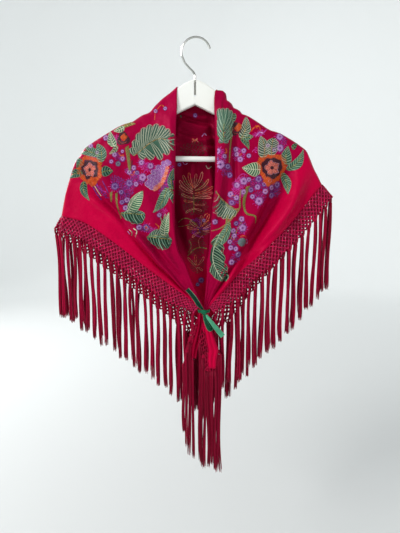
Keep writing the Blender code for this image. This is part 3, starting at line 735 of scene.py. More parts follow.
def leaf(
    on, x, z, tip_x, tip_z, width, bend, style,
    lobes=0, sides=(1, 1), foot_round=0.59, tip_round=1.12, fan=0.7,
):
    """A leaf from its foot to its tip: a ground, close stitches and pale rays that fan out from the midrib, a
    pale outline and the rib. sides gives the share of the width on its left and on its right."""
    base, rays, rib = LEAF_STYLES[style]
    foot, length, ahead, normal = way((x, z), (tip_x, tip_z))
    both = foot_round + tip_round
    peak = foot_round**foot_round * tip_round**tip_round / both**both

    def mid(t):
        t = np.asarray(t, float)
        return foot + ahead * length * t[..., None] + normal * bend * length * np.sin(math.pi * t)[..., None]

    def half(t):
        t = np.clip(t, 0, 1)
        plain = width / 2 * t**foot_round * (1 - t) ** tip_round / peak
        return plain * (0.80 + 0.20 * np.abs(np.sin(math.pi * lobes * t)) if lobes else 1.0)

    count = max(6, int(length / CLOSE))
    every = 4 if width > 30 else 3
    for side, size in ((1, sides[0]), (-1, sides[1])):
        out = side * normal * size
        rows = np.linspace(0.02, 0.98, max(6, int(length / 4.5)))
        places = [mid(t) + out * half(t) * 0.97 * c for t in rows for c in np.linspace(0, 1, 4)]
        on.ground(places, 0.12, np.array(base[1]) * 0.66)
        for k in range(count):
            t = 0.01 + 0.98 * (k + 0.5) / count
            t_end = min(1.0, t + fan * t * (1 - t))
            start = mid(t) + side * normal * 0.3
            end = mid(t_end) + out * half(t_end) * draw.uniform(0.95, 1.03)
            long = np.linalg.norm(end - start)
            if long < 0.9:
                continue
            bow = (start + end) / 2 - ahead * 0.07 * long
            path = curve([start, bow, end], np.linspace(0, 1, 5 if long > 9 else 4))
            spread = 1 + 0.5 * max(0.0, fan * (1 - 2 * t))
            if k % every == 1:
                on.strip(path, 1.5 * spread, tone(rays, k) * 1.15, 0.8, 0.7)
            else:
                on.strip(path, CLOSE * 1.2 * spread, tone(base, k), 0.45)
        edge = np.linspace(0.03, 0.99, max(5, int(length / 5)))
        stitch_line(on, mid(edge) + out * half(edge)[:, None], 0.65, rays, 4.5, 0.7)
    stitch_line(on, mid(np.linspace(0, 0.93, 7)), 1.7, rib, 6.0, 0.95)


def finger(on, root, tip, wide, bow, base, rays, lift):
    """One rounded finger of a lobed leaf: dark stitches side by side along it, every third one pale."""
    root, length, ahead, normal = way(root, tip)

    def along(f, c):
        return root + np.outer(f * length, ahead) + np.outer(bow * length * np.sin(math.pi * f) + c, normal)

    lanes = max(4, int(round(wide / 1.45)))
    for k in range(lanes):
        c = (k + 0.5) / lanes * 2 - 1
        f = np.linspace(0, 0.72 + 0.28 * math.sqrt(1 - c * c), 7)
        half = wide / 2 * (0.35 + 0.65 * ease(f / 0.55))
        pale = k % 3 == 1
        shade = tone(rays, k) * 1.15 if pale else tone(base, k)
        on.strip(along(f, c * half), wide / lanes * (1.0 if pale else 1.3), shade, lift + 0.12 * pale)
    end = np.radians(np.linspace(-80, 80, 6))
    stitch_line(on, along(0.74 + 0.27 * np.cos(end), wide * 0.5 * np.sin(end)), 0.65, rays, 4.0, lift + 0.2)


def frond(on, rib, wide, style, fingers):
    """A lobed leaf made of fingers that spring from its rib, given in order round it. Finger columns: share
    along the rib, tip X, Z, bow."""
    base, rays, spine = LEAF_STYLES[style]
    roots = [curve(rib, share) for share, *_ in fingers]
    ends = [mix(root, np.array([x, z], float), 0.80) for root, (_, x, z, _) in zip(roots, fingers)]
    thirds = np.linspace(0, 1, 4)
    for a, b, c, d in zip(roots, ends, ends[1:], roots[1:]):
        places = [mix(mix(a, b, i), mix(d, c, i), j) for i in thirds for j in thirds]
        on.ground(places, 0.10, np.array(base[1]) * 0.6)
    for k, (_, x, z, bow) in enumerate(fingers):
        finger(on, roots[k], (x, z), wide, bow, base, rays, 0.45 + 0.05 * (k % 3))
    stitch_line(on, curve(rib, np.linspace(0, 0.96, 8)), 1.7, spine, 5.0, 1.1)


def ring(on, x, z, inner, outer, tones, pitch, lift, turn=0.0):
    """Radial satin stitches from an inner to an outer radius."""
    inner = radius(inner)
    outer = radius(outer)
    count = max(7, int(math.tau * outer(0.0) / pitch))
    for k in range(count):
        a = math.tau * k / count + turn
        start = np.array([x, z]) + heading(a) * inner(a)
        end = np.array([x, z]) + heading(a) * outer(a) * draw.uniform(0.96, 1.03)
        if outer(a) - inner(a) < 0.5:
            continue
        steps = 4 if outer(a) - inner(a) > 5 else 3
        on.strip([mix(start, end, f) for f in np.linspace(0, 1, steps)], pitch * 1.15, tone(tones, k), lift)


def wavy(r, depth, waves, shift=0.0):
    """A radius that swings by a share of itself as it goes round."""
    return lambda a: r * (1 + depth * math.cos(waves * a + shift))


def rose(on, x, z, r, turn, lobes=5, notch=0.10):
    """A full flower: an orange outer ring, a dark wine ring with inlets, coral petals and a dark eye."""
    t = math.radians(turn)
    outer = lambda a: r * (1 + notch * math.cos(lobes * (a - t)) + 0.025 * math.cos(13 * a))
    edge = lambda a: r * (0.72 + 0.05 * math.cos(lobes * (a - t)) + 0.035 * math.cos(9 * a))
    wine = lambda a: r * (0.43 + 0.07 * math.cos(5 * (a - t) + 2.0) + 0.03 * math.cos(11 * a))
    ring(on, x, z, lambda a: edge(a) * 0.93, outer, ORANGE, 1.15, 0.55)
    ring(on, x, z, lambda a: wine(a) * 0.92, edge, WINE, 1.15, 0.75, 0.02)
    rim(on, x, z, lambda a: 1.04 * edge(a), 0.8, [ORANGE[2], CORAL[3]], 3.2, 0.95)
    ring(on, x, z, r * 0.10, wine, PEACH, 1.0, 0.9, 0.05)
    rim(on, x, z, lambda a: 1.02 * wine(a), 0.8, [PEACH[2], LAVENDER[2]], 2.6, 1.1)
    steps = ((0.0, 0.14), (0.10, 0.28), (0.0, 0.40))
    for k in range(6):
        a = t + math.tau * k / 6
        line = [np.array([x, z]) + heading(a + d) * r * f for d, f in steps]
        stitch_line(on, line, 0.9, [WINE[2], PEACH[3]], 3.0, 1.25)
    ring(on, x, z, 0.1, r * 0.14, WINE, 0.8, 1.2)


def small_flower(on, x, z, r, turn):
    """A flower seen from its side: wine petals with an orange throat."""
    ring(on, x, z, r * 0.40, wavy(r, 0.16, 3, turn), WINE, 1.0, 0.6)
    throat = np.array([x, z]) + heading(turn) * 0.30 * r
    ring(on, *throat, 0.2, lambda a: r * (0.55 + 0.10 * math.cos(4 * a)), ORANGE, 1.0, 0.85)
    arc = circle(x, z, 0.7 * r, np.linspace(turn + 2.2, turn + 4.4, 7))
    stitch_line(on, arc, 1.2, [CORAL[3], ORANGE[2]], 3.0, 0.9)


def berry(on, x, z, r, dark=0, sprayed=0):
    """A small round blossom: petals with a pale ring, a purple rim and a dark knot, over open radiating
    stitches where it is sprayed."""
    for k in range(13 if sprayed else 0):
        away = heading(0.3 * x + math.tau * k / 13)
        reach = r * 1.9 * (1.0 if k % 2 else 0.78)
        path = [np.array([x, z]) + away * mix(r * 1.1, reach, f) for f in (0, 0.5, 1)]
        on.strip(path, 1.15, tone(MAGENTA, k), 0.4)
    petals = lambda a: r * (0.95 + 0.08 * math.cos(5 * a + x))
    ring(on, x, z, r * 0.2, petals, PLUM if dark else LAVENDER, 0.95, 0.6)
    rim(on, x, z, r * 1.05, 0.9, PURPLE, 2.6, 0.55, 11)
    rim(on, x, z, r * 0.62, 0.75, [LAVENDER[2], PALE_LILAC], 2.2, 0.95, 11)
    ring(on, x, z, 0.05, r * 0.28, PURPLE, 0.7, 0.95)


def cloud(on, x, z, wide, high, turn, tones, count):
    """Loose short stitches scattered evenly over an oval patch."""
    for k in range(count):
        f = math.sqrt((k + 0.5) / count)
        a = k * GOLDEN_TURN
        spot = turned(x, z, turn, wide * f * math.cos(a), high * f * math.sin(a))
        away = heading(math.radians(turn) + 0.9 * math.sin(1.7 * k)) * draw.uniform(1.6, 3.0)
        on.strip([spot - away, spot, spot + away], 1.3, tone(tones, k), 0.35)


def bloom(on, x, z, angle, length, width):
    """A long head of overlapping lavender scales, with a coral frill and a purple shade along one side."""
    middle = turned(x, z, angle, length * 0.42, -width * 0.62)
    cloud(on, *middle, length * 0.5, 4.5, angle, PURPLE + MAGENTA[1:2], 60)

    def half(f):
        return width / 2 * math.sin(math.pi * (0.16 + 0.74 * f)) ** 0.7 * (1 - 0.28 * f)

    rows = 10
    for i in range(rows):
        f = (rows - 1 - i) / (rows - 1)
        count = 3 if f < 0.75 else 2
        for j in range(count):
            offset = mix(-half(f) * 0.35, half(f) * 0.95, (j + 0.5 * (i % 2)) / max(1, count - 0.5))
            spot = turned(x, z, angle, length * f, offset)
            r = width * 0.19 * (1 - 0.25 * f)
            ring(on, *spot, r * 0.1, r, LAVENDER[:2] + PURPLE[1:2], 0.95, 0.6 + 0.02 * i)
            scale = circle(*spot, r, np.radians(np.linspace(angle + 90, angle + 270, 6)))
            stitch_line(on, scale, 0.8, [PALE_LILAC, LAVENDER[2]], 2.6, 0.9 + 0.02 * i)
    for i in range(rows):
        f = i / (rows - 1)
        spot = turned(x, z, angle, length * (0.02 + 0.80 * f), -half(f) * 0.78)
        r = width * 0.17 * (1 - 0.2 * f)
        tones = CORAL if i % 2 else [PEACH[2], PEACH[0], CORAL[2]]
        ring(on, *spot, r * 0.1, wavy(r, 0.15, 3), tones, 0.9, 0.85)


def bud(on, x, z, r):
    ring(on, x, z, 0.6, r, BUD, 1.0, 0.7)


def knob(on, x, z, r):
    ring(on, x, z, 0.4, wavy(r, 0.12, 4), ORANGE, 1.1, 1.0)


# The motifs in the order in which they are laid, the clouds under the rest. Each row holds what its function
# takes: places X,Z in millimetres seen from the front, then sizes, turns in degrees and silks.
FRONT = {
    cloud: [
        (-134, -250, 20, 9, -35, PURPLE, 60), (-112, -232, 16, 6, -20, PURPLE + MAGENTA, 36),
        (-126, -276, 12, 8, -60, PURPLE, 34), (-172, -262, 20, 5, -50, PURPLE, 44),
        (-88, -332, 15, 6, -8, PURPLE, 34), (-136, -204, 12, 7, -30, MAGENTA[1:2] + PURPLE, 30),
        (44, -206, 11, 16, 0, MAGENTA, 60), (56, -228, 8, 12, -30, PURPLE, 30),
        (80, -250, 14, 10, 30, MAGENTA, 44), (132, -256, 22, 11, -20, PURPLE, 80),
        (116, -274, 12, 10, 0, PURPLE, 36), (152, -178, 13, 12, 0, PURPLE + MAGENTA[1:2], 48),
        (114, -163, 12, 5, 20, MAGENTA, 26), (70, -280, 10, 9, 0, MAGENTA[1:2] + PURPLE, 30),
        (84, -328, 9, 14, 0, PURPLE, 36), (70, -352, 8, 16, -10, PURPLE, 40),
        (74, -386, 9, 10, -20, PURPLE, 26), (-84, -222, 18, 8, -15, MAGENTA, 50),
        (-44, -240, 9, 22, -20, PURPLE + MAGENTA, 70), (-104, -243, 14, 8, -30, PURPLE + MAGENTA[:1], 44),
        (-120, -262, 10, 12, -30, MAGENTA[1:2] + PURPLE, 40), (-145, -172, 10, 8, 20, MAGENTA, 24),
        (-186, -206, 16, 6, 10, PURPLE + MAGENTA[1:2], 30), (78, -200, 12, 12, 0, MAGENTA, 44),
        (108, -252, 10, 12, 0, PURPLE + MAGENTA, 44), (146, -262, 12, 12, -40, PURPLE, 50),
        (78, -266, 12, 12, 0, MAGENTA, 44), (122, -190, 20, 7, 10, MAGENTA, 40),
        (-72, -336, 14, 6, 0, MAGENTA[1:2], 24), (-60, -300, 10, 8, 0, MAGENTA, 24),
    ],
    leaf: [
        (-144, -186, -152, -158, 15, 0.1, "pale"), (-139, -184, -154, -199, 8, 0.1, "sage"),
        (-126, -151, -146, -158, 10, 0.1, "pale"), (-128, -150, -106, -146, 8, 0.1, "olive"),
        (-169, -214, -175, -180, 20, -0.12, "grey", 0, (1, 0.9), 0.63, 0.78),
        (-172, -202, -209, -194, 18, -0.1, "grey", 0, (0.8, 1), 0.59, 0.67, 0.8),
        (-207, -206, -216, -222, 13, 0.1, "dark"), (-205, -230, -232, -241, 15, -0.1, "dark"),
        (-167, -232, -147, -229, 18, 0.1, "dark", 0, (1, 1), 0.54),
        (-203, -246, -191, -281, 13, -0.14, "dark"),
        (-122, -303, -94, -264, 27, 0.1, "pale", 0, (0.35, 1.2), 0.7, 0.9, 0.6),
        (-135, -304, -90, -307, 34, 0.02, "dark", 5, (0.4, 1.1), 0.9, 0.5, 0.9),
        (-50, -258, -76, -303, 18, 0.08, "grey", 0, (1, 1), 0.8, 1.25),
        (-47, -258, -36, -294, 17, 0.12, "grey", 0, (1, 1), 0.7, 1.25),
        (-40, -262, -38, -224, 12, 0.1, "dark"),
        (-89, -347, -42, -353, 36, 0.04, "dark", 5, (0.35, 1.15), 0.85, 0.5, 0.9),
        (-86, -346, -47, -346, 19, 0.08, "grey", 0, (1.1, 0.3), 0.8, 0.78, 0.6),
        (-57, -345, -47, -302, 17, 0.04, "pale", 0, (1, 0.9), 0.45, 1.1, 0.5),
        (82, -172, 91, -133, 19, -0.1, "sage", 3, (1, 1), 0.63, 0.95, 0.8),
        (84, -168, 104, -168, 14, -0.1, "grey", 0, (1, 0.8)), (82, -171, 96, -191, 10, 0.14, "dark"),
        (66, -142, 71, -128, 12, 0.1, "grey", 0, (1, 1), 0.59, 0.67),
        (122, -206, 117, -167, 22, -0.12, "sage", 0, (1.1, 0.9), 0.63, 0.95, 0.8),
        (137, -202, 141, -170, 24, 0.05, "sage", 3, (1, 1), 0.69, 0.56, 0.8),
        (166, -217, 167, -184, 19, 0.1, "grey", 0, (0.9, 1.1), 0.63),
        (166, -225, 195, -190, 17, -0.16, "grey", 0, (0.9, 1.1), 0.63),
        (175, -190, 185, -179, 8, 0.1, "dark"),
        (118, -226, 84, -223, 24, 0.04, "pale", 0, (1, 1), 0.52, 1.1, 0.6),
        (158, -230, 168, -270, 14, 0.12, "grey", 0, (1, 1), 0.63),
        (62, -318, 33, -366, 17, 0.1, "grey", 0, (1.0, 0.9), 0.7, 0.6, 0.6),
        (45, -340, 54, -430, 46, -0.19, "deep", 5, (1.0, 0.75), 0.75, 0.55, 0.8),
    ],
    frond: [
        (
            [(-110, -202), (-95, -191), (-78, -178), (-62, -172), (-48, -176)],
            13,
            "sage",
            [
                (0.14, -89, -205, -0.05), (0.32, -75, -207, -0.05), (0.54, -60, -208, 0.03),
                (0.74, -47, -200, 0.05), (0.92, -35, -191, 0.03), (1, -34, -180, 0),
                (0.9, -36, -169, -0.04), (0.78, -45, -158, -0.05), (0.66, -55, -151, -0.03),
                (0.54, -67, -147, 0), (0.42, -80, -148, 0.02), (0.32, -91, -153, 0.03),
                (0.22, -100, -162, 0.04), (0.12, -107, -174, 0.05), (0.02, -112, -187, 0.06),
            ],
        ),
        (
            [(50, -180), (50, -164), (51, -146)],
            10,
            "mist",
            [
                (0, 44, -174, 0.06), (0.02, 38, -165, 0.08), (0.18, 36, -154, 0.08), (0.36, 36, -142, 0.07),
                (0.54, 37, -130, 0.05), (0.7, 42, -122, 0.03), (0.84, 49, -121, 0), (0.76, 57, -121, -0.02),
                (0.62, 64, -124, -0.04), (0.44, 66, -136, -0.06), (0.26, 66, -149, -0.08),
                (0.08, 64, -162, -0.08), (0, 57, -174, -0.06),
            ],
        ),
        (
            [(75, -299), (57, -286), (42, -272), (35, -258)],
            11,
            "sage",
            [
                (0.96, 33, -250, 0), (0.86, 31, -266, 0.05), (0.74, 29, -280, 0.07), (0.62, 29, -292, 0.06),
                (0.5, 33, -302, 0.05), (0.38, 41, -309, 0.03), (0.26, 50, -313, 0), (0.14, 59, -313, -0.03),
                (0.04, 67, -308, -0.05),
            ],
        ),
    ],
    stem: [
        (7, 4.5, OLIVE, -122, -186, -119, -209, -117, -230),
        (2, 1.4, WINE, -113, -210, -114, -222, -119, -232), (5, 3, OLIVE, -150, -266, -152, -283),
        (4, 2, OLIVE, -141, -268, -140, -290, -136, -314),
        (2.2, 3, TAN, 82, -262, 80, -280, 79, -296, 59, -321),
        (2.4, 1.4, TAN, 79, -296, 66, -296, 52, -284, 42, -274),
        (2.2, 1.2, TAN, 59, -321, 45, -331, 24, -337), (1.8, 1, OLIVE, 59, -321, 44, -342, 33, -360),
        (6.5, 1.6, OLIVE, 95, -256, 89, -274, 88, -290, 93, -304, 108, -309, 110, -322),
        (3, 1.8, OLIVE, 64, -170, 62, -192, 61, -214), (4, 3, OLIVE, 57, -322, 58, -306),
        (3, 3, OLIVE, 60, -150, 64, -172),
    ],
    bloom: [(-78, -256, 54, 52, 29)],
    rose: [(-190, -226, 25, 40, 5, 0.07), (138, -223, 27, 270, 3, 0.11)],
    small_flower: [(-128.5, -172, 11.5, 1.2), (74, -155, 11, 0.6), (-88, -331, 6, 2)],
    thread: [
        (1.5, ORANGE, -72, -140, -70, -126, -60, -114, -54, -118),
        (2.2, ORANGE, -137, -196, -133, -202, -128, -200, -130, -207),
        (1.8, ORANGE, -119, -232, -112, -236, -108, -229), (2, PURPLE, -187, -255, -180, -268, -171, -280),
        (1.4, CREAM, -184, -254, -178, -264, -172, -273),
        (1.8, MAGENTA, -180, -252, -170, -262, -160, -266),
        (1.8, PURPLE, -166, -246, -160, -258, -156, -268),
        (1.4, PALE_LEAF, -66, -306, -62, -314, -60, -324),
        (1.4, PALE_LEAF, -54, -305, -58, -314, -61, -324), (2, ORANGE, -72, -322, -66, -328, -68, -334),
        (1.6, PALE_LEAF, -121, -333, -115, -338, -117, -345),
        (1.8, CREAM, -112, -331, -106, -336, -108, -347), (1.6, LAVENDER, -124, -336, -120, -342),
        (2.2, ORANGE, 100, -159, 106, -152, 114, -150, 117, -158), (2.2, ORANGE, 108, -148, 111, -154),
        (2.6, LAVENDER, 109, -167, 115, -161, 122, -162), (2.2, MAGENTA, 116, -168, 121, -163, 128, -155),
        (2.4, ORANGE, 54, -190, 56, -196, 52, -199), (1.8, ORANGE, 76, -196, 80, -201, 84, -197),
        (1.8, ORANGE, 64, -274, 70, -272, 74, -275), (1.8, ORANGE, 122, -262, 126, -266, 130, -262),
        (1.2, OLIVE, 70, -337, 66, -346, 65, -360), (1.2, OLIVE, 84, -320, 76, -334, 70, -352),
        (1.2, OLIVE, 60, -306, 62, -322, 66, -334), (1.4, MAGENTA, 32, -184, 36, -179, 44, -178, 50, -181),
        (1.4, MAGENTA, 31, -204, 37, -207, 46, -206, 53, -208),
        (1.4, MAGENTA, 76, -243, 80, -237, 86, -234, 94, -237),
        (1.6, MAGENTA, 66, -262, 70, -260, 76, -262), (1.6, ORANGE, 82, -346, 88, -344, 94, -347),
        (1.4, LAVENDER, 93, -350, 97, -355, 96, -361),
        (1.2, LAVENDER, 79, -352, 84, -351, 88, -354, 91, -359),
    ],
    berry: [
        (-70, -124, 3.4), (-53, -120, 3.4), (-144, -200, 4.2), (-130, -194, 3), (-130, -207, 4.4),
        (-138, -216, 4.2), (-96, -214, 4.8, 0, 1), (-80, -220, 5.2, 0, 1), (-110, -223, 4.4),
        (-118, -231, 4.4), (-94, -240, 6.6, 0, 1), (-118, -250, 6.4, 1, 1), (-144, -256, 6.4, 1, 1),
        (-133, -266, 4.4, 1), (-123, -280, 5), (-131, -284, 4.2, 1), (-125, -294, 4.6), (-188, -184, 4.4),
        (-102, -329, 4.8), (-89, -330, 6.2, 1, 1), (-65, -307, 4), (-160, -170, 5), (40, -195, 5.4, 0, 1),
        (45, -218, 7.6, 0, 1), (58, -221, 4.8, 1), (62, -236, 4.8, 1), (73, -190, 4.6), (87, -193, 4.4),
        (75, -199, 4.2), (81, -208, 5), (152, -188, 6.4, 0, 1), (152, -168, 6, 0, 1), (87, -247, 6.6, 0, 1),
        (75, -254, 5.2, 0, 1), (64, -270, 5), (87, -266, 5), (74, -276, 4.6), (66, -285, 5, 1),
        (114, -243, 6, 1), (112, -257, 5), (126, -265, 5), (150, -252, 6, 1), (140, -271, 5.6, 1),
        (115, -282, 7.2, 0, 1), (36, -319, 4.8), (84, -314, 5), (86, -330, 6.6, 0, 1), (69, -335, 4.4),
        (71, -344, 4.4), (63, -355, 4.4), (65, -366, 4.6), (79, -379, 5.8, 1), (67, -393, 5.4),
        (-150, -212, 3.6), (-106, -252, 4.4), (-104, -232, 4, 1), (-176, -196, 3.8), (-74, -232, 4, 1),
        (38, -208, 4.2, 1), (52, -204, 4), (96, -202, 4), (100, -262, 4.6, 1), (134, -246, 4.4, 1),
        (138, -258, 4.6), (124, -252, 4.2, 1), (103, -274, 4.4), (96, -244, 4.2), (130, -184, 4.4),
        (142, -192, 4, 1), (74, -368, 4.4), (74, -322, 4.2, 1),
    ],
    bud: [(85.5, -356, 8), (-138, -216, 4.5)],
    knob: [(-187, -246, 9.5), (131, -247, 8.5), (78, -150, 5)],
}

# One half of the back. Leaves have no shares of their sides here, and the usual fullness where none is given.
BACK_FULLNESS = (0.63, 0.78, 0.8)
BACK_CLOUDS = [
    (72, -316, 18, 9, 0, PURPLE, 50), (158, -240, 12, 8, 0, PURPLE, 30), (138, -290, 16, 9, 0, PURPLE, 46),
    (44, -358, 16, 8, 0, PURPLE, 40), (46, -172, 12, 8, 0, MAGENTA, 36), (18, -162, 10, 7, 0, MAGENTA, 26),
    (164, -198, 11, 8, 0, MAGENTA, 28), (110, -266, 9, 12, 0, PURPLE, 30),
]
BACK_LEAVES = [
    (26, -246, 84, -214, 58, 0.08, "sage", 6, 0.67, 0.62, 0.8), (30, -272, 70, -296, 26, -0.1, "dark"),
    (8, -232, 24, -176, 30, 0.1, "grey", 4, 0.65, 0.67, 0.8), (104, -236, 74, -266, 24, 0.14, "dark"),
    (138, -236, 146, -276, 17, -0.12, "grey", 0, 0.63, 0.84, 0.7), (108, -196, 98, -160, 20, 0.1, "sage"),
    (134, -194, 150, -170, 18, -0.1, "grey"), (146, -218, 182, -218, 19, 0.14, "pale", 0, 0.59, 0.84, 0.7),
    (84, -176, 66, -152, 15, 0.1, "pale", 0, 0.59, 0.84, 0.7),
    (96, -162, 112, -148, 11, 0.1, "dark", 0, 0.59, 0.84, 0.7),
    (22, -332, 62, -344, 34, 0.1, "dark", 4, 0.63, 0.67, 0.8),
    (14, -300, 36, -322, 17, -0.1, "pale", 0, 0.63, 0.84, 0.7),
    (13, -372, 34, -412, 24, -0.12, "sage", 3, 0.63, 0.73, 0.8),
    (92, -290, 112, -318, 16, 0.1, "pale", 0, 0.63, 0.84, 0.7),
    (156, -256, 176, -252, 12, 0.1, "dark", 0, 0.59, 0.84, 0.7),
    (46, -150, 30, -130, 13, 0.1, "grey", 0, 0.59, 0.84, 0.7),
]
BACK_STEMS = [
    (5, 2.2, OLIVE, 8, -290, 20, -322, 8, -360, 9, -420), (5, 2.6, OLIVE, 26, -250, 64, -238, 102, -228),
    (3, 1.4, TAN, 20, -316, 46, -306, 76, -312, 94, -296),
    (4.5, 1.6, OLIVE, 116, -242, 122, -262, 112, -282, 116, -296),
    (3, 2, OLIVE, 86, -182, 92, -200, 106, -212), (3, 3, OLIVE, 10, -206, 8, -222, 4, -236),
]
BACK_LINES = [
    (1.6, ORANGE, 48, -168, 52, -160, 62, -158), (1.6, ORANGE, 78, -310, 72, -316, 62, -322),
    (1.6, ORANGE, 150, -240, 157, -244, 166, -246), (1.6, ORANGE, 136, -282, 144, -290, 152, -286),
    (1.6, ORANGE, 34, -356, 42, -362, 52, -358), (1.6, ORANGE, 158, -190, 164, -200, 174, -198),
    (1.4, MAGENTA, 120, -168, 128, -176, 134, -168), (1.4, PALE_LEAF, 96, -300, 92, -312, 84, -318),
]
BACK_BERRIES = [
    (74, -306, 5.6), (84, -322, 5), (64, -318, 4.6), (54, -326, 5), (44, -164, 5), (54, -176, 4.6),
    (36, -186, 4.6), (154, -236, 6), (164, -240, 4.8), (150, -292, 5.4), (140, -286, 4.6), (130, -298, 5),
    (122, -276, 6.4), (100, -276, 5), (38, -352, 6.2), (48, -362, 4.6), (30, -362, 4.6), (60, -364, 5.4),
    (22, -156, 4.8), (12, -166, 4.2), (126, -170, 5), (164, -196, 6), (156, -188, 4.4), (174, -204, 4.4),
    (44, -300, 5.2), (18, -444, 4.6),
]


def stitch_all(name, material, motifs, towards, *grids):
    """The piece with all its motifs."""
    on = Sewing(towards, *grids)
    for lay, rows in motifs.items():
        for row in rows:
            lay(on, *row)
    return on.pile.place(name, material, "silk")


def back_motifs():
    """The corner of the shawl that hangs down the back: sprays of flowers either side of its middle."""
    motifs = {lay: [] for lay in FRONT}
    motifs[rose] = [(4, -262, 29, 90, 5, 0.08), (-124, -214, 25, 30, 5, 0.07), (128, -222, 26, 270, 3, 0.10)]
    motifs[bloom] = [(-50, -214, 124, 50, 27), (58, -210, 58, 50, 27)]
    motifs[small_flower] = [(-84, -168, 11, 1.0), (92, -170, 11, 2.2), (8, -196, 10, 1.5), (14, -428, 8, 4.7)]
    motifs[knob] = [(4, -236, 9.0)]
    motifs[bud] = [(-30, -388, 7.5), (50, -380, 7.5)]
    jitter = np.random.default_rng(5)

    for s, d in ((-1, 0.0), (1, 4.0)):
        for x, z, tip_x, tip_z, wide, bend, style, *more in BACK_LEAVES:
            dx, dz, tx, tz = jitter.uniform(-3.5, 3.5, 4)
            lobes, *full = more or [0]
            foot = (s * x + d + dx, z + dz)
            tip = (s * tip_x + d + dx + tx, tip_z + dz + tz)
            wide = wide * jitter.uniform(0.88, 1.14)
            row = (*foot, *tip, wide, s * bend, style, lobes, (1, 1), *(full or BACK_FULLNESS))
            motifs[leaf].append(row)
        for k, (x, z, r) in enumerate(BACK_BERRIES):
            dx, dz = jitter.uniform(-3, 3, 2)
            row = (s * x + d + dx, z + dz, r * jitter.uniform(0.85, 1.15), k % 4 == 2, k % 3 == 0)
            motifs[berry].append(row)
        motifs[cloud] += [(s * x + d, *rest) for x, *rest in BACK_CLOUDS]
        for lay, rows, first in ((stem, BACK_STEMS, 3), (thread, BACK_LINES, 2)):
            for row in rows:
                line = [v if i % 2 else s * v + d for i, v in enumerate(row[first:])]
                motifs[lay].append((*row[:first], *line))
    return motifs


# What shows of the stitching on the wrong side of the back, through the front opening, darker as painted
# shade. Line columns: width, silks, X,Z of each point.
INSIDE_LINES = [
    (1.6, OLIVE, -3, -303, -3, -285, -3, -270), (1.6, OLIVE, -33, -322, -22, -314, -10, -316, 2, -326),
    (1.2, OLIVE, -33, -330, -20, -328, -8, -324), (1.6, CORAL, 14, -318, 18, -308, 24, -304),
    (1.6, CORAL, 12, -330, 18, -322, 26, -318), (1.6, PURPLE, 10, -322, 6, -332, 10, -342),
    (1.6, PURPLE, 4, -330, 14, -336, 24, -334), (1.4, MAGENTA, -6, -340, 4, -348, 16, -350),
    (2, OLIVE, -15, -386, -4, -374, 8, -370, 22, -372), (1.2, OLIVE, -14, -380, -8, -366, -12, -354),
    (1.2, SALMON, 8, -370, 6, -356, 14, -346), (2.2, CORAL, -5, -168, -1, -172, 4, -168),
    (1.6, SALMON, -6, -174, 0, -170, 6, -174), (2, LAVENDER, 12, -164, 17, -158, 21, -162),
    (1.4, LAVENDER, -24, -208, -20, -214, -14, -212), (1.4, CREAM, 20, -216, 24, -222, 30, -218),
    (1.4, SALMON, -6, -402, 2, -410, 4, -420),
]
INSIDE_BERRIES = [
    (0, -127, 3.6), (16, -318, 3.6), (11, -434, 5.4), (4, -442, 3.6), (-30, -214, 3.4),
]
# Finger columns of the ferns inside: foot X, Z, tip X, Z, width, bow.
INSIDE_FINGERS = [
    (-4, -268, -30, -252, 4.2, 0.1), (-5, -264, -29, -242, 4.4, 0.12), (-5, -260, -22, -233, 4.2, 0.1),
    (-4, -257, -11, -229, 4.4, 0.08), (-3, -256, 1, -231, 4, -0.04), (-2, -258, 12, -227, 4.4, -0.1),
    (-1, -262, 24, -240, 4, -0.14), (-1, -267, 33, -254, 4.2, -0.1), (-1, -271, 33, -265, 3.8, -0.06),
    (-2, -276, 30, -276, 3.4, 0.04), (-5, -276, -26, -268, 3.6, 0.06), (-4, -283, -22, -280, 3, 0.05),
    (-3, -288, 18, -288, 3, -0.04), (-3, -296, 12, -300, 2.8, 0.05), (-3, -296, -18, -304, 2.8, -0.08),
    (12, -330, 26, -306, 4, -0.08), (10, -331, 12, -308, 3.6, 0.04), (14, -334, 32, -324, 3.6, -0.06),
    (8, -332, -10, -318, 3.8, 0.1), (7, -335, -16, -330, 3.4, 0.06), (13, -338, 30, -340, 3.4, 0.05),
    (8, -340, -6, -350, 3.2, -0.08), (2, -404, -14, -388, 3.6, 0.1), (2, -404, 0, -384, 3.6, 0.04),
    (4, -405, 16, -388, 3.6, -0.08), (3, -408, 14, -416, 3, 0.06),
]
INSIDE_CLOUDS = [
    (-2, -262, 30, 22, 0, DUSK_PAINTED_SHADE, 170), (0, -292, 24, 16, 0, DUSK_PAINTED_SHADE, 90),
    (8, -330, 22, 18, 0, DUSK_PAINTED_SHADE + PURPLE, 130), (2, -368, 18, 20, 0, DUSK_PAINTED_SHADE, 80),
    (4, -404, 14, 16, 0, DUSK_PAINTED_SHADE, 60), (-2, -186, 26, 12, 0, DUSK_PAINTED_SHADE, 60),
]
# Outline of a finger: share along it, and share of its half width.
FINGER_LOOP = np.array([0.0, 0.25, 0.55, 0.82, 0.96, 1.0, 0.96, 0.82, 0.55, 0.25, 0.0])
FINGER_SIDE = np.array([0.1, 0.6, 0.9, 1.0, 0.6, 0.0, -0.6, -1.0, -0.9, -0.6, -0.1])


def loop(on, tones, x, z, tip_x, tip_z, wide, bow):
    """One finger of a fern as a long narrow loop in outline."""
    foot, length, ahead, normal = way((x, z), (tip_x, tip_z))
    side = FINGER_SIDE * wide / 2 + bow * length * np.sin(math.pi * FINGER_LOOP * 0.9)
    line = foot + np.outer(FINGER_LOOP * length, ahead) + np.outer(side, normal)
    stitch_line(on, line, 0.95, tones, 3.2, 0.4)


# Stem stitch darkened as painted shade, on the inside of the back
def dim_thread(on, width, tones, *line):
    stitch_line(on, np.reshape(line, (-1, 2)), width, [np.array(t) * 0.8 for t in tones], 3.6, 0.4)


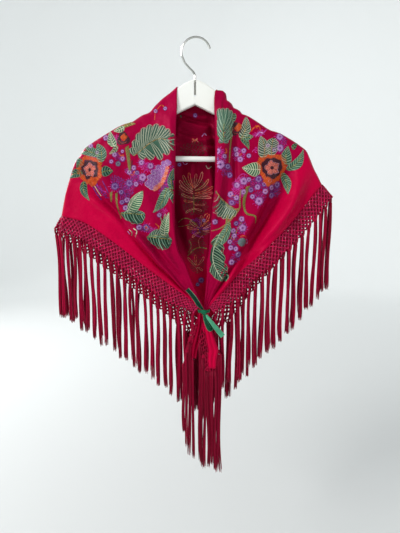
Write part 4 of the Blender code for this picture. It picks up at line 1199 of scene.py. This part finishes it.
REDS = [SALMON, [SALMON[2], PEACH[2]], [TAN[2], SALMON[0]], CORAL]
INSIDE = {
    cloud: INSIDE_CLOUDS,
    loop: [(REDS[k % 4], *row) for k, row in enumerate(INSIDE_FINGERS)],
    dim_thread: INSIDE_LINES,
    berry: [(*row, 1) for row in INSIDE_BERRIES],
}


# Net and fringe
# Pink painted highlight added to the net's lit cords and knots
NET_PAINTED_HIGHLIGHT = np.array([0.03, 0.010, 0.032])
FRINGE_SHADES = silks("860026 9c0030 72001e 90042c 7a0022")
THREAD_RADIUS = 0.76
THREAD_END = 0.35
CORD_RADIUS = 1.0
NET_KNOT = (1.9, 1.45, 1.6)
TOP_KNOT = (1.3, 1.1, 1.2)
HEAD_KNOT = (2.2, 1.8, 2.4)
TAIL_KNOT = (1.7, 1.3, 1.5)
TAIL_HEAD_KNOT = (2.0, 1.6, 2.2)
# Strands behind those near the back's tip: how near, and how far they are moved at head and foot.
NEAR_TIP = 62.0
BEHIND_HEADS = np.array([5.4, 2.2, 1.5])
BEHIND_FEET = np.array([5.8, 2.2, 2.5])


def tubes(pile, paths, radii, shades, sides=4):
    """Round threads along many paths at once. paths is (m, n, 3), radii (m, n) and shades (m, 3)."""
    ahead = unit(np.gradient(paths, axis=1))
    across = np.cross(ahead, np.array([0.0, 1.0, 0.0]))
    flat = np.linalg.norm(across, axis=-1, keepdims=True) < 0.2
    across = unit(np.where(flat, np.cross(ahead, np.array([1.0, 0.0, 0.0])), across))
    out = np.cross(across, ahead)
    angle = math.tau * (np.arange(sides) + 0.5) / sides
    wheel = across[:, :, None] * np.cos(angle)[:, None] + out[:, :, None] * np.sin(angle)[:, None]
    points = paths[:, :, None] + wheel * radii[:, :, None, None]
    # The two ends are closed by fans of quads.
    count = paths.shape[1]
    first = np.array([[0, j, j + 1, j + 2] for j in range(1, sides - 2, 2)])
    last = first[:, ::-1] + (count - 1) * sides
    pile.add_many(points, np.vstack([ring_quads(count, sides), first, last]), shades)


def runs(starts, ends, steps):
    """Straight paths from many starts to their ends."""
    f = np.linspace(0, 1, steps)[None, :, None]
    return np.array(starts)[:, None] * (1 - f) + np.array(ends)[:, None] * f


def knot_shape():
    """Points and quads of a small rounded lump, from a cube with each face cut in four."""
    index = {}
    quads = []
    for axis in range(3):
        for sign in (-1, 1):
            for u, v in ((-1, -1), (-1, 0), (0, -1), (0, 0)):
                face = []
                for du, dv in ((0, 0), (1, 0), (1, 1), (0, 1)):
                    p = [0, 0, 0]
                    p[axis] = sign
                    p[(axis + 1) % 3] = u + du
                    p[(axis + 2) % 3] = v + dv
                    face.append(index.setdefault(tuple(p), len(index)))
                quads.append(face if sign > 0 else face[::-1])
    return unit(np.array(list(index), float)), np.array(quads)


KNOT_POINTS, KNOT_QUADS = knot_shape()


def knots(pile, places, size, shades):
    """Rounded lumps at many places at once. size is the three half widths."""
    count = len(places)
    turn = draw.uniform(-0.35, 0.35, count)[:, None]
    x, y, z = (KNOT_POINTS * np.asarray(size)).T[:, None]
    local = [x * np.cos(turn) - z * np.sin(turn), y + 0 * turn, x * np.sin(turn) + z * np.cos(turn)]
    points = places[:, None] + np.stack(local, axis=-1) * draw.uniform(0.88, 1.12, (count, 1, 1))
    pile.add_many(points, KNOT_QUADS, shades)


def shades_of(count, light=1.0):
    picks = np.array(FRINGE_SHADES)[draw.integers(0, len(FRINGE_SHADES), count)]
    return picks * draw.uniform(0.85, 1.15, (count, 1)) * light


def strands(pile, roots, feet, spread, threads, light=1.0):
    """Bundles of fine threads from each root to its foot. spread is how wide each is at its two ends."""
    steps = 11 if FINE else 6
    f = np.linspace(0, 1, steps)
    for root, foot in zip(roots, feet):
        k = np.arange(threads)
        angle = k * GOLDEN_TURN + draw.uniform(0, math.tau)
        twist = draw.uniform(-2.2, 2.2)
        wander = draw.uniform(-1, 1, (2, 3))
        reach = np.sqrt((k + 0.5) / threads)[:, None] * mix(*spread, f**1.6)[None, :]
        a = angle[:, None] + twist * f[None, :] + draw.uniform(-0.3, 0.3, (threads, 1)) * f[None, :] * 2
        middle = root[None, :] + (foot - root)[None, :] * f[:, None]
        bow = np.sin(math.pi * f) * wander[0, 0] * 2.2 + np.sin(math.tau * f) * wander[0, 1] * 1.5
        paths = np.empty((threads, steps, 3))
        paths[:, :, 0] = middle[None, :, 0] + bow[None, :] + reach * np.cos(a)
        sag = np.sin(math.pi * f) * wander[1, 0]
        paths[:, :, 1] = middle[None, :, 1] + reach * np.sin(a) * 0.7 + sag[None, :]
        trim = 1 + draw.uniform(-0.035, 0.008, (threads, 1))
        paths[:, :, 2] = root[2] + (middle[None, :, 2] - root[2]) * trim
        radii = np.full((threads, steps), THREAD_RADIUS)
        radii[:, -1] = THREAD_END
        tubes(pile, paths, radii, shades_of(threads, light))


def edge_function(points):
    """The edge through many points as a function of the share along it, and its length."""
    lengths = steps_of(points)
    ends = np.concatenate([[0], np.cumsum(lengths)]) / lengths.sum()

    def edge(f):
        return np.stack([np.interp(f, ends, points[:, i]) for i in range(3)], axis=-1)

    return edge, lengths.sum()


def net_band(pile, hem, start, stop, count, shift, tie_end=None, tip_end=None):
    """Knotted net below a hem and the strands that hang from its lower row."""
    edge, length = edge_function(hem)
    reach = length * abs(stop - start)
    margin = 4.6 / reach

    def fall(f):
        spot = mix(start, stop, f)
        along = unit(edge(np.minimum(spot + 0.012, 1)) - edge(np.maximum(spot - 0.012, 0)))
        down = np.stack([along[..., 2], np.zeros_like(f), -along[..., 0]], axis=-1)
        down = np.where(down[..., 2:3] > 0, -down, down)
        down = unit(unit(down) * NET_SLANT + np.array([0, 0, NET_SLANT - 1]))
        share = np.ones_like(f)
        if tie_end is not None:
            share = mix(NET_AT_TIE, 1.0, ease(np.abs(f - tie_end) * reach / NET_END))
        if tip_end is not None:
            straight = (1 - ease(np.abs(f - tip_end) * reach / NET_END))[..., None]
            down = mix(down, np.array([0, 0, -NET_AT_TIP]), straight)
        return down * share[..., None]

    def below(f, deep):
        f = np.clip(f, 0, 1)
        return edge(mix(start, stop, f)) + fall(f) * np.asarray(deep)[..., None]

    middles = mix(margin, 1 - margin, np.arange(count) / (count - 1))
    pitch = (middles[-1] - middles[0]) / (count - 1) / 2

    def mesh(slide, more=0.0):
        """Rows of crossings, slid along by a share of the mesh, the last of them lower by more."""
        rows = []
        for row in range(NET_ROWS):
            number = 2 * count + (row % 2)
            f = middles[0] + pitch * (slide - 0.5 - 0.5 * (row % 2) + np.arange(number))
            f = f + draw.uniform(-0.06, 0.06, number) * pitch
            deep = NET_TOP + (NET_DEEP + more - NET_TOP) * row / (NET_ROWS - 1)
            spots = below(f, deep + draw.uniform(-0.35, 0.35, number))
            spots[:, 1] += draw.uniform(-UNEVEN, UNEVEN, number)
            rows.append(spots)
        return rows

    def cords(rows, thick, light, glow):
        starts = []
        ends = []
        for row, (upper, lower) in enumerate(zip(rows, rows[1:])):
            # The longer of the two rows has a crossing more, so its cords run to the same and the next one.
            few = np.arange(min(len(upper), len(lower)))
            one = np.concatenate([few, few])
            other = np.concatenate([few, few + 1])
            starts += list(upper[one if row % 2 == 0 else other])
            ends += list(lower[other if row % 2 == 0 else one])
        paths = runs(starts, ends, 4)
        paths[:, 1:3, 2] -= CORD_SAG
        paths[:, 1:3, 1] += draw.uniform(-UNEVEN, UNEVEN, (len(paths), 1))
        tubes(pile, paths, np.full(paths.shape[:2], thick), shades_of(len(paths), light) + glow, CORD_SIDES)

    rows = mesh(0.0)
    # The top layer of the net is a lighter copy of the fringe silk with a pink painted highlight.
    for row, spots in enumerate(rows):
        knots(pile, spots, NET_KNOT if row else TOP_KNOT, shades_of(len(spots), 1.7) + NET_PAINTED_HIGHLIGHT)
    cords(rows, thick=CORD_RADIUS, light=1.6, glow=NET_PAINTED_HIGHLIGHT)
    # A second layer of the net lies under it: a darker copy as painted shade under the front fringes, and a
    # lighter copy as painted light under the back ones.
    away = np.array([0.0, NET_UNDER if tip_end is None else -NET_UNDER, 0.0])
    light = 0.75 if tip_end is None else 1.5
    cords([spots + away for spots in mesh(0.5, 2.5)], thick=1.5, light=light, glow=0.0)
    # From the lowest row two cords run together into each strand.
    k = np.arange(count)
    roots = below(middles, NET_DEEP)
    heads = roots - np.array([0, 0, HEAD_FALL])
    heads[:, 2] -= 3.0 * np.abs(np.sin(3.3 * k + shift))
    feet = roots.copy()
    feet[:, 0] += SWAY * np.sin(2.4 * k + 0.7)
    feet[:, 1] += 0.8 * np.sin(1.7 * k)
    feet[:, 2] -= STRAND_LONG + 4.5 * np.sin(2.1 * k + shift) + 2.5 * np.sin(5.3 * k)
    for offset, lean in ((0, -0.9), (1, 0.9)):
        paths = runs(rows[-1][2 * k + offset], heads, 5)
        paths[:, :, 0] += lean * np.sin(math.pi * np.linspace(0, 1, 5))[None, :]
        radii = np.broadcast_to(np.linspace(1.4, 2.0, 5), paths.shape[:2])
        tubes(pile, paths, radii, shades_of(count), CORD_SIDES)
    knots(pile, heads, HEAD_KNOT, shades_of(count, 1.05))
    strands(pile, heads, feet, spread=(2.6, 3.8), threads=17, light=1.15)
    if tip_end is not None:
        # Behind the tails the strands hang closer together, darker as painted shade.
        near = np.abs(middles - tip_end) * reach < NEAR_TIP
        heads, feet = heads[near] + BEHIND_HEADS, feet[near] + BEHIND_FEET
        strands(pile, heads, feet, spread=(2.8, 3.8), threads=14, light=0.85)


def tail_net(pile, rows, foot_from, foot_to, lengths, behind, net_rows=10):
    """A narrow knotted net down the left edge of a tail. Its cords run on into strands side by side."""
    rows = np.array(rows)
    edge = np.column_stack([rows[:, 0] - rows[:, 2] - 0.5, rows[:, 3], rows[:, 1]])
    inner = curve(edge, np.linspace(0.02, 1, net_rows))
    grid = [inner + TAIL_NET * j / (TAIL_NET_COLUMNS - 1) for j in range(TAIL_NET_COLUMNS)]
    for spots in grid:
        spots = spots + draw.uniform(-UNEVEN, UNEVEN, spots.shape)
        knots(pile, spots, TAIL_KNOT, shades_of(net_rows, 1.1))
    starts = []
    ends = []
    for i in range(net_rows):
        for j in range(TAIL_NET_COLUMNS):
            if i + 1 < net_rows:
                starts.append(grid[j][i])
                ends.append(grid[j][i + 1])
            if j + 1 < TAIL_NET_COLUMNS:
                starts.append(grid[j][i])
                ends.append(grid[j + 1][i])
    # Strands hang side by side: from the net's outer edge on the left, then from the foot, then from behind.
    count = int(1.6 * len(lengths))
    outer = grid[-1]
    foot_x, foot_z, foot_half, foot_y, _ = rows[-1]
    top_x, top_z, top_half, top_y, _ = rows[-3]
    heads = []
    for at in foot_from + (foot_to - foot_from) * (np.arange(count) + 0.5) / count:
        if at < outer[:, 0].max():
            anchor = outer[np.argmin(np.abs(outer[:, 0] - at))]
            head = (at, anchor[1] - 0.5, anchor[2] - 7.0)
        elif at < foot_x + foot_half:
            anchor = np.array([max(at, foot_x - foot_half), foot_y, foot_z + 1.0])
            head = (at, foot_y - 1.0, foot_z - 7.0)
        else:
            anchor = np.array([min(at, top_x + top_half) - 2.0, top_y + 3.0, top_z])
            head = (at, top_y + 3.5, top_z - 10.0)
        for lean in (-1.8, 1.8):
            starts.append(anchor + np.array([lean, 0, 0.5 * lean]))
            ends.append(head)
        heads.append(head)
    paths = runs(starts, ends, 3)
    tubes(pile, paths, np.full(paths.shape[:2], CORD_RADIUS), shades_of(len(paths), 1.15), CORD_SIDES)
    heads = np.array(heads)
    knots(pile, heads, TAIL_HEAD_KNOT, shades_of(count, 1.05))
    feet = heads.copy()
    k = np.arange(count)
    feet[:, 0] += SWAY * np.sin(2.4 * k + 0.7)
    level = (edge[-1] + TAIL_NET)[2] - TAIL_FOOT_FALL
    feet[:, 2] = level - np.interp(k / (count - 1), np.linspace(0, 1, len(lengths)), lengths)
    strands(pile, heads, feet, spread=(2.4, 3.4), threads=15)
    # More strands fill the gap between the feet of the two tails, darker as painted shade.
    x = behind
    if len(x):
        roots = np.column_stack([x, BEHIND_Y + 1.5 * np.sin(2 * x), np.interp(x, *BEHIND_START)])
        feet = [x + 1.5 * np.sin(3 * x), np.full(len(x), BEHIND_Y + 1.0), BEHIND_END - 6 * np.sin(2.3 * x)]
        strands(pile, roots, np.column_stack(feet), spread=(3.0, 4.0), threads=14, light=0.75)


# Fringe columns: piece, share of its hem at the first and last strand, strands, and which end of it is at
# the tie or at the back's tip.
FRINGES = (
    ("fringe_front_left", 0.0, 0.972, 21, {"tie_end": 1}),
    ("fringe_front_right", 0.03, 1.0, 19, {"tie_end": 0}),
    ("fringe_back_left", 0.0, 0.998, 22, {"tip_end": 1}),
    ("fringe_back_right", 0.002, 1.0, 18, {"tip_end": 0}),
)
# Nets of the tails: piece, rows of the tail beside it, X of the first and last strand, strand lengths, and X
# of the strands behind.
TAIL_NETS = (
    ("fringe_tail_left", TAIL_LEFT[2:], -26, -3, [138.0, 184.0, 193.0], []),
    ("fringe_tail_right", TAIL_RIGHT[3:], 6, 50, [180.0, 193.0, 190.0, 182.0, 203.0, 206.0], BEHIND_X),
)


# Tails and ribbon
KNOT_FRONT = -(BAND_HALF_Y + 1.3)
KNOT_HALF = np.array([5.6, 2.6, 4.8])
SATIN = 0.5
BAND_HALF_HIGH = 2.6
# How much painted highlight the ribbon's edges get
EDGE_HIGHLIGHT_SHARE = 0.75
# The under layer of a tail: how much wider than the front, and how far behind it
UNDER_WIDER = 5.0
UNDER_AWAY = 2.6
# Painted shade on the left tail and painted light on the right one; both are the same silk.
TAIL_LEFT_PAINTED_SHADE = (0.6, 0.55, 0.55)
TAIL_RIGHT_PAINTED_LIGHT = (1.05, 1.0, 1.0)
# Ribbon columns: X, Y in front of the tie's band, Z from the middle of the tie, turn in degrees, width, cup.
RIBBONS = {
    "ribbon_end_up": [
        (-2.6, -2.6, 5.4, 0, 4.6, 0.9), (-9, -5.5, 14, 10, 8, 0.7), (-16, -6.5, 25, 25, 9.5, 0.5),
        (-23, -6.5, 35, 30, 9.5, 0.4), (-31, -6, 44, 20, 8.6, 0.3),
    ],
    "ribbon_end_down": [
        (3.8, -2.6, -5.2, 0, 4.6, 0.9), (11, -8, -14, 8, 8.6, 0.7), (20, -11.5, -25, 8, 9.5, 0.5),
        (28, -12.5, -34.5, 8, 9.5, 0.4), (35, -12.5, -43, 5, 9.5, 0.3),
    ],
    "ribbon_loop": [
        (0.5, -2.6, -3.6, 0, 4.6, 0.8), (2, -4.6, -12, 0, 7.6, 0.6), (5, -6.2, -21, 0, 8.8, 0.5),
        (9, -6.2, -29, 0, 9, 0.3), (12.5, -4.4, -32.5, 0, 9, 0.2), (12.5, -1.8, -30, 0, 9, 0.3),
        (9, -0.8, -22, 0, 8, 0.4), (4.5, -0.6, -13, 0, 6.2, 0.4),
    ],
}
# Painted shade on the ribbon's upper end and a painted reflection on its lower end, where the satin catches
# the light.
RIBBON_PAINTED_SHADE_AND_SHEEN = {"ribbon_end_up": "02281a", "ribbon_end_down": "4c9c78", "ribbon_loop": "0c4a2e"}
# Colour of the painted highlight along the ribbon's edges
EDGE_PAINTED_HIGHLIGHT = np.array(colour("7fc4a0"))
GREEN = colour("146342")


def tail_grid(rows, columns=21, under=14, steps=34):
    """A tail: a tapering strip with rolled pleats, folded back on itself at its right edge."""
    rows = np.array(rows)
    f = np.linspace(0, 1, steps)
    spine = curve(rows[:, [0, 3, 1]], f)
    half = curve(np.column_stack([rows[:, 2], rows[:, 4]]), f)
    across = np.linspace(-1, 1, columns)
    x = spine[:, None, 0] + half[:, None, 0] * across[None, :]
    pleats = np.sin(math.tau * (across + 0.15)) + 0.3 * np.sin(across * 9)
    wave = half[:, None, 1] * pleats[None, :]
    y = spine[:, None, 1] + wave - 1.2 * (1 - across**2)[None, :]
    # The under layer turns back behind the front and reaches a little further left.
    turn = np.linspace(0, 1, under + 1)[1:]
    reach = (2 * half[:, None, 0] + UNDER_WIDER * ease(f / 0.4)[:, None]) * turn[None, :]
    behind_x = x[:, -1:] - reach + 0.8 * np.sin(math.pi * np.minimum(1, 5 * turn))[None, :]
    lean = 1.2 * np.sin(5 * turn)[None, :] * ease(f / 0.3)[:, None]
    behind_y = y[:, -1:] + UNDER_AWAY * ease(4 * turn)[None, :] + lean
    x = np.concatenate([x, behind_x], axis=1)
    y = np.concatenate([y, behind_y], axis=1)
    z = np.broadcast_to(spine[:, None, 2], x.shape) - 3.0 * np.sin(0.16 * (x - x[:, :1]))
    return np.stack([x, y, z], axis=-1)


def ribbon_strip(pile, rows, shade, columns=9, steps=40):
    """A length of ribbon with a painted highlight along both edges."""
    rows = np.array(rows, float) + np.array([0, KNOT_FRONT, 0, 0, 0, 0])
    f = np.linspace(0, 1, steps)
    spine = curve(rows[:, :3], f) + TIE
    turn, wide, cup = curve(rows[:, 3:], f).T[:, :, None]
    ahead = unit(np.gradient(spine, axis=0))
    side = unit(np.cross(ahead, np.array([0.0, -1.0, 0.0])))
    out = np.cross(side, ahead)
    a = np.radians(turn)
    across = side * np.cos(a) + out * np.sin(a)
    rise = np.cross(ahead, across)
    s = np.linspace(-1, 1, columns)[None, :, None]
    grid = spine[:, None] + across[:, None] * wide[:, None] / 2 * s + rise[:, None] * cup[:, None] * s**2
    edge = np.zeros((columns, 1))
    edge[[0, -1]] = EDGE_HIGHLIGHT_SHARE
    cloth_shell(pile, grid, SATIN, np.tile(mix(shade, EDGE_PAINTED_HIGHLIGHT, edge), (2 * steps, 1)))


def ribbon_knot(pile, rings=18, sides=28):
    """The knot: a few rounded laps of ribbon around the crossing."""
    f = np.linspace(0, math.pi, rings)[:, None]
    a = np.linspace(0, math.tau, sides, endpoint=False)[None, :]
    lap = 1 + 0.07 * np.cos(3 * (a + 0.8 * np.cos(f)) * 2) * np.sin(f)
    ball = [np.sin(f) * np.cos(a) * lap, np.sin(f) * np.sin(a) * lap, np.cos(f) * np.ones_like(a)]
    points = np.stack(ball, axis=-1) * KNOT_HALF + TIE + np.array([0, KNOT_FRONT - KNOT_HALF[1], 0])
    pile.add(points, ring_quads(rings, sides), GREEN)


def ribbon_band(pile):
    """The turn of ribbon round the two corners of the shawl."""
    s = np.linspace(-1, 1, 9)
    grid = []
    for angle in np.append(np.linspace(0, math.tau, 61)[:-1], 0.0):
        bulge = 0.35 * (1 - s**2) + 0.25 * np.sin(9 * s + 3 * math.cos(angle))
        x = (BAND_HALF_X + 0.5 + bulge) * math.cos(angle)
        y = (BAND_HALF_Y + 0.5 + bulge) * math.sin(angle)
        grid.append(np.column_stack([x, y, BAND_HALF_HIGH * s]) + TIE)
    cloth_shell(pile, np.array(grid), SATIN, GREEN)


# Materials


def add_node(tree, kind, **values):
    node = tree.nodes.new(kind)
    for name, value in values.items():
        if name in node.inputs:
            node.inputs[name].default_value = value
        else:
            setattr(node, name, value)
    return node


def object_noise(tree, scale, detail, stretch=(1, 1, 1)):
    mapping = add_node(tree, "ShaderNodeMapping", Scale=stretch)
    noise = add_node(tree, "ShaderNodeTexNoise", Scale=scale, Detail=detail)
    tree.links.new(add_node(tree, "ShaderNodeTexCoord").outputs["Object"], mapping.inputs["Vector"])
    tree.links.new(mapping.outputs["Vector"], noise.inputs["Vector"])
    return noise.outputs["Fac"]


def ramp(tree, source, stops):
    node = add_node(tree, "ShaderNodeValToRGB")
    for element, (place, shade) in zip(node.color_ramp.elements, stops):
        element.position = place
        element.color = (*shade, 1)
    tree.links.new(source, node.inputs["Fac"])
    return node.outputs["Color"]


def new_material(name, roughness, **sockets):
    material = bpy.data.materials.new(name)
    material.use_nodes = True
    tree = material.node_tree
    shader = tree.nodes["Principled BSDF"]
    shader.inputs["Roughness"].default_value = roughness
    shader.inputs["Sheen Roughness"].default_value = 0.35
    for socket, value in sockets.items():
        value = (*value, 1) if isinstance(value, tuple) else value
        shader.inputs[socket.replace("_", " ")].default_value = value
    return material, tree, shader


def surface(name, roughness, slow, dyed, grains, strength, distance, **sockets):
    """A material. slow gives a slow noise's scale and detail, and a darker and a lighter shade with their
    places. A dyed one takes the colour of each point as well. grains are noises that raise the surface, each
    with its scale, detail, stretch and share."""
    material, tree, shader = new_material(name, roughness, **sockets)
    shade = None
    if slow:
        scale, detail, low, dark, high, light = slow
        shade = ramp(tree, object_noise(tree, scale, detail), [(low, dark), (high, light)])
    if dyed:
        own = add_node(tree, "ShaderNodeAttribute", attribute_name="thread").outputs["Color"]
        if shade:
            both = add_node(tree, "ShaderNodeMix", data_type="RGBA", blend_type="MULTIPLY")
            both.inputs["Factor"].default_value = 1.0
            tree.links.new(shade, both.inputs[6])
            tree.links.new(own, both.inputs[7])
            own = both.outputs[2]
        shade = own
    tree.links.new(shade, shader.inputs["Base Color"])
    height = None
    for *noise, share in grains:
        grain = add_node(tree, "ShaderNodeMath", operation="MULTIPLY_ADD")
        grain.inputs[1].default_value = share
        grain.inputs[2].default_value = 0.0
        tree.links.new(object_noise(tree, *noise), grain.inputs[0])
        if height:
            tree.links.new(height, grain.inputs[2])
        height = grain.outputs["Value"]
    bump = add_node(tree, "ShaderNodeBump", Strength=strength, Distance=distance)
    tree.links.new(height, bump.inputs["Height"])
    tree.links.new(bump.outputs["Normal"], shader.inputs["Normal"])
    return material


EVEN = (1, 1, 1)
LEVEL = "Specular_IOR_Level"
TINT = "Specular_Tint"


def make_materials():
    shawl = {LEVEL: 0.26, TINT: (1.0, 0.08, 0.24), "Sheen_Weight": 0.05, "Sheen_Tint": colour("ff0048")}
    sewn = {LEVEL: 0.28, "Sheen_Weight": 0.10, "Sheen_Tint": (1, 1, 1)}
    corded = {LEVEL: 0.28, TINT: (1.0, 0.35, 0.5), "Sheen_Weight": 0.08, "Sheen_Tint": colour("ff5a8c")}
    gloss = {LEVEL: 0.24, TINT: (0.35, 1.0, 0.72)}
    dye = (9.0, 2.0, 0.30, colour("ac0032"), 0.70, colour("c2003a"))
    glow = (90.0, 2.0, 0.3, (0.62, 0.62, 0.62), 0.7, (1.12, 1.12, 1.12))
    paint = (18.0, 3.0, 0.3, colour("ecece6"), 0.7, colour("f4f4f0"))
    steel = (40.0, 3.0, 0.3, colour("a8a8a4"), 0.7, colour("cfcfca"))
    weave = [(900.0, 2.0, (1, 1, 0.25), 0.12), (70.0, 5.0, EVEN, 1.0)]
    rows = (
        ("silk", 0.40, dye, True, weave, 0.5, 0.0034, shawl),
        ("sewing", 0.40, None, True, [(1500.0, 3.0, EVEN, 1.0)], 0.35, 0.0004, sewn),
        ("fringe", 0.40, None, True, [(1300.0, 3.0, EVEN, 1.0)], 0.35, 0.0004, corded),
        ("ribbon", 0.36, glow, True, [(1200.0, 2.0, EVEN, 1.0)], 0.2, 0.0003, gloss),
        ("hanger", 0.38, paint, False, [(60.0, 4.0, (0.2, 1, 1.6), 1.0)], 0.06, 0.0004, {LEVEL: 0.45}),
        ("hook", 0.26, steel, False, [(300.0, 2.0, (1, 1, 0.1), 1.0)], 0.04, 0.0001, {"Metallic": 1.0}),
    )
    return {name: surface(name, *row, **sockets) for name, *row, sockets in rows}


# Stage, in metres. Its shade turns from the first to the second between two distances from the middle:
# painted shade on the floor near the middle, where the lamps light it most, and painted light on the far
# wall.
FLOOR = -1.15
FLAT_TO = 1.5
WALL_FOOT = 3.2
WALL_BEND = 1.0
WALL_TOP = 2.2
AROUND = 96
PALE_FROM = 1.2
PALE_TO = 3.7
STAGE_PAINTED_SHADE_AND_LIGHT = [(0.0, (0.58, 0.595, 0.595)), (1.0, (0.88, 0.90, 0.90))]
WORLD_SHADE = (0.92, 0.96, 0.97, 1)
WORLD_LIGHT = 0.49
# Lamp columns: name, place, aim, width, height, power, colour.
AIM = (0, 0, -0.35)
LAMPS = [
    ("key", (-2.1, -1.65, 1.25), AIM, 0.9, 0.9, 64, (1.0, 0.99, 0.97)),
    ("fill", (1.7, -1.9, 0.0), AIM, 1.6, 1.6, 5, (0.97, 0.98, 1.0)),
    ("wash", (0.3, 1.4, 2.1), (0.1, 4.1, -0.6), 1.6, 1.0, 20, (1.0, 1.0, 1.0)),
    ("behind", (-2.1, 1.3, 0.8), AIM, 0.7, 0.7, 52, (1.0, 1.0, 1.0)),
]


def stage():
    """A plain pale floor that curves up into a low plain wall well away on every side."""
    material, tree, shader = new_material("stage", 0.9, **{LEVEL: 0.1})
    away = add_node(tree, "ShaderNodeVectorMath", operation="LENGTH")
    tree.links.new(add_node(tree, "ShaderNodeTexCoord").outputs["Object"], away.inputs[0])
    rise = add_node(tree, "ShaderNodeMapRange")
    rise.inputs["From Min"].default_value = PALE_FROM
    rise.inputs["From Max"].default_value = PALE_TO
    tree.links.new(away.outputs["Value"], rise.inputs["Value"])
    # Painted shade near the middle, turning to painted light far out
    tree.links.new(ramp(tree, rise.outputs["Result"], STAGE_PAINTED_SHADE_AND_LIGHT), shader.inputs["Base Color"])
    profile = [(0.0, FLOOR), (FLAT_TO, FLOOR)]
    for a in np.linspace(0, math.pi / 2, 12):
        profile.append((WALL_FOOT + WALL_BEND * math.sin(a), FLOOR + WALL_BEND * (1 - math.cos(a))))
    profile.append((WALL_FOOT + WALL_BEND, WALL_TOP))
    around = np.linspace(0, math.tau, AROUND + 1)[:-1]
    points = [(r * math.cos(a), r * math.sin(a), z) for r, z in profile for a in around]
    mesh = bpy.data.meshes.new("floor")
    mesh.from_pydata(points, [], ring_quads(len(profile), AROUND).tolist())
    mesh.shade_smooth()
    mesh.materials.append(material)
    link_object("floor", mesh)
    world = bpy.data.worlds.new("studio")
    world.use_nodes = True
    world.node_tree.nodes["Background"].inputs["Color"].default_value = WORLD_SHADE
    world.node_tree.nodes["Background"].inputs["Strength"].default_value = WORLD_LIGHT
    bpy.context.scene.world = world
    bpy.context.scene.view_settings.view_transform = "Standard"


def lights_and_camera():
    for name, at, aim, wide, high, power, shade in LAMPS:
        data = bpy.data.lights.new(name, "AREA")
        data.shape = "RECTANGLE"
        data.size = wide
        data.size_y = high
        data.energy = power
        data.color = shade
        lamp = link_object(name, data)
        lamp.location = at
        lamp.rotation_euler = (Vector(aim) - Vector(at)).to_track_quat("-Z", "Y").to_euler()
    data = bpy.data.cameras.new("camera")
    data.lens = CAMERA_LENS
    data.sensor_fit = "VERTICAL"
    data.sensor_height = SENSOR
    data.clip_start = 0.01
    camera = link_object("camera", data)
    camera.location = CAMERA_AT
    camera.rotation_euler = (math.radians(90 - CAMERA_DOWN), 0, 0)
    bpy.context.scene.camera = camera


# Material of each kind of piece
SLOTS = {"cloth": "silk", "threads": "fringe", "satin": "ribbon"}


def main():
    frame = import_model()
    materials = make_materials()

    def made(name, kind, fill, *row, **more):
        """A piece in the place of its node. The function fill lays it in a pile."""
        pile = Pile()
        fill(pile, *row, **more)
        slot = SLOTS[kind]
        return pile.place(f"{name}_{kind}", materials[slot], slot, name)

    grid, first, last = shawl_grid()
    smooth_grid(grid, 3)
    pile = Pile()
    cloth_shell(pile, grid, SILK, *silk_shades(grid))
    cloth = pile.place("shawl_cloth", materials["silk"], "silk", "front_left", "front_right", "back")

    left, back, right = grid[: first + 1, LIP:], grid[first : last + 1, LIP:], grid[last:, LIP:]
    sewn = materials["sewing"]
    sewing = [
        stitch_all("front_sewing", sewn, FRONT, 1, left, right),
        stitch_all("back_sewing", sewn, back_motifs(), -1, back),
        stitch_all("inside_sewing", sewn, INSIDE, 1, back),
    ]

    hem = grid[:, -1]
    tip = first + int(np.argmin(hem[first : last + 1, 2]))
    edges = (hem[: first + 1][::-1], hem[last:][::-1], hem[first : tip + 1], hem[tip : last + 1])
    fringes = []
    for edge, (name, *row, end) in zip(edges, FRINGES):
        fringes.append(made(name, "threads", net_band, edge, *row, float(len(fringes)), **end))
    for name, *row in TAIL_NETS:
        fringes.append(made(name, "threads", tail_net, *row))

    tails = [
        made("tail_left", "cloth", cloth_shell, tail_grid(TAIL_LEFT), SILK, TAIL_LEFT_PAINTED_SHADE),
        made("tail_right", "cloth", cloth_shell, tail_grid(TAIL_RIGHT), SILK, TAIL_RIGHT_PAINTED_LIGHT),
    ]
    for name, rows in RIBBONS.items():
        made(name, "satin", ribbon_strip, rows, np.array(colour(RIBBON_PAINTED_SHADE_AND_SHEEN[name])))
    made("ribbon_knot", "satin", ribbon_knot)
    made("ribbon_band", "satin", ribbon_band)

    for name in ("hanger_arm_left", "hanger_arm_right", "hanger_bar"):
        frame["nodes"][name].data.materials[0] = materials["hanger"]
    frame["nodes"]["hanger_hook"].data.materials[0] = materials["hook"]

    stage()
    lights_and_camera()


main()
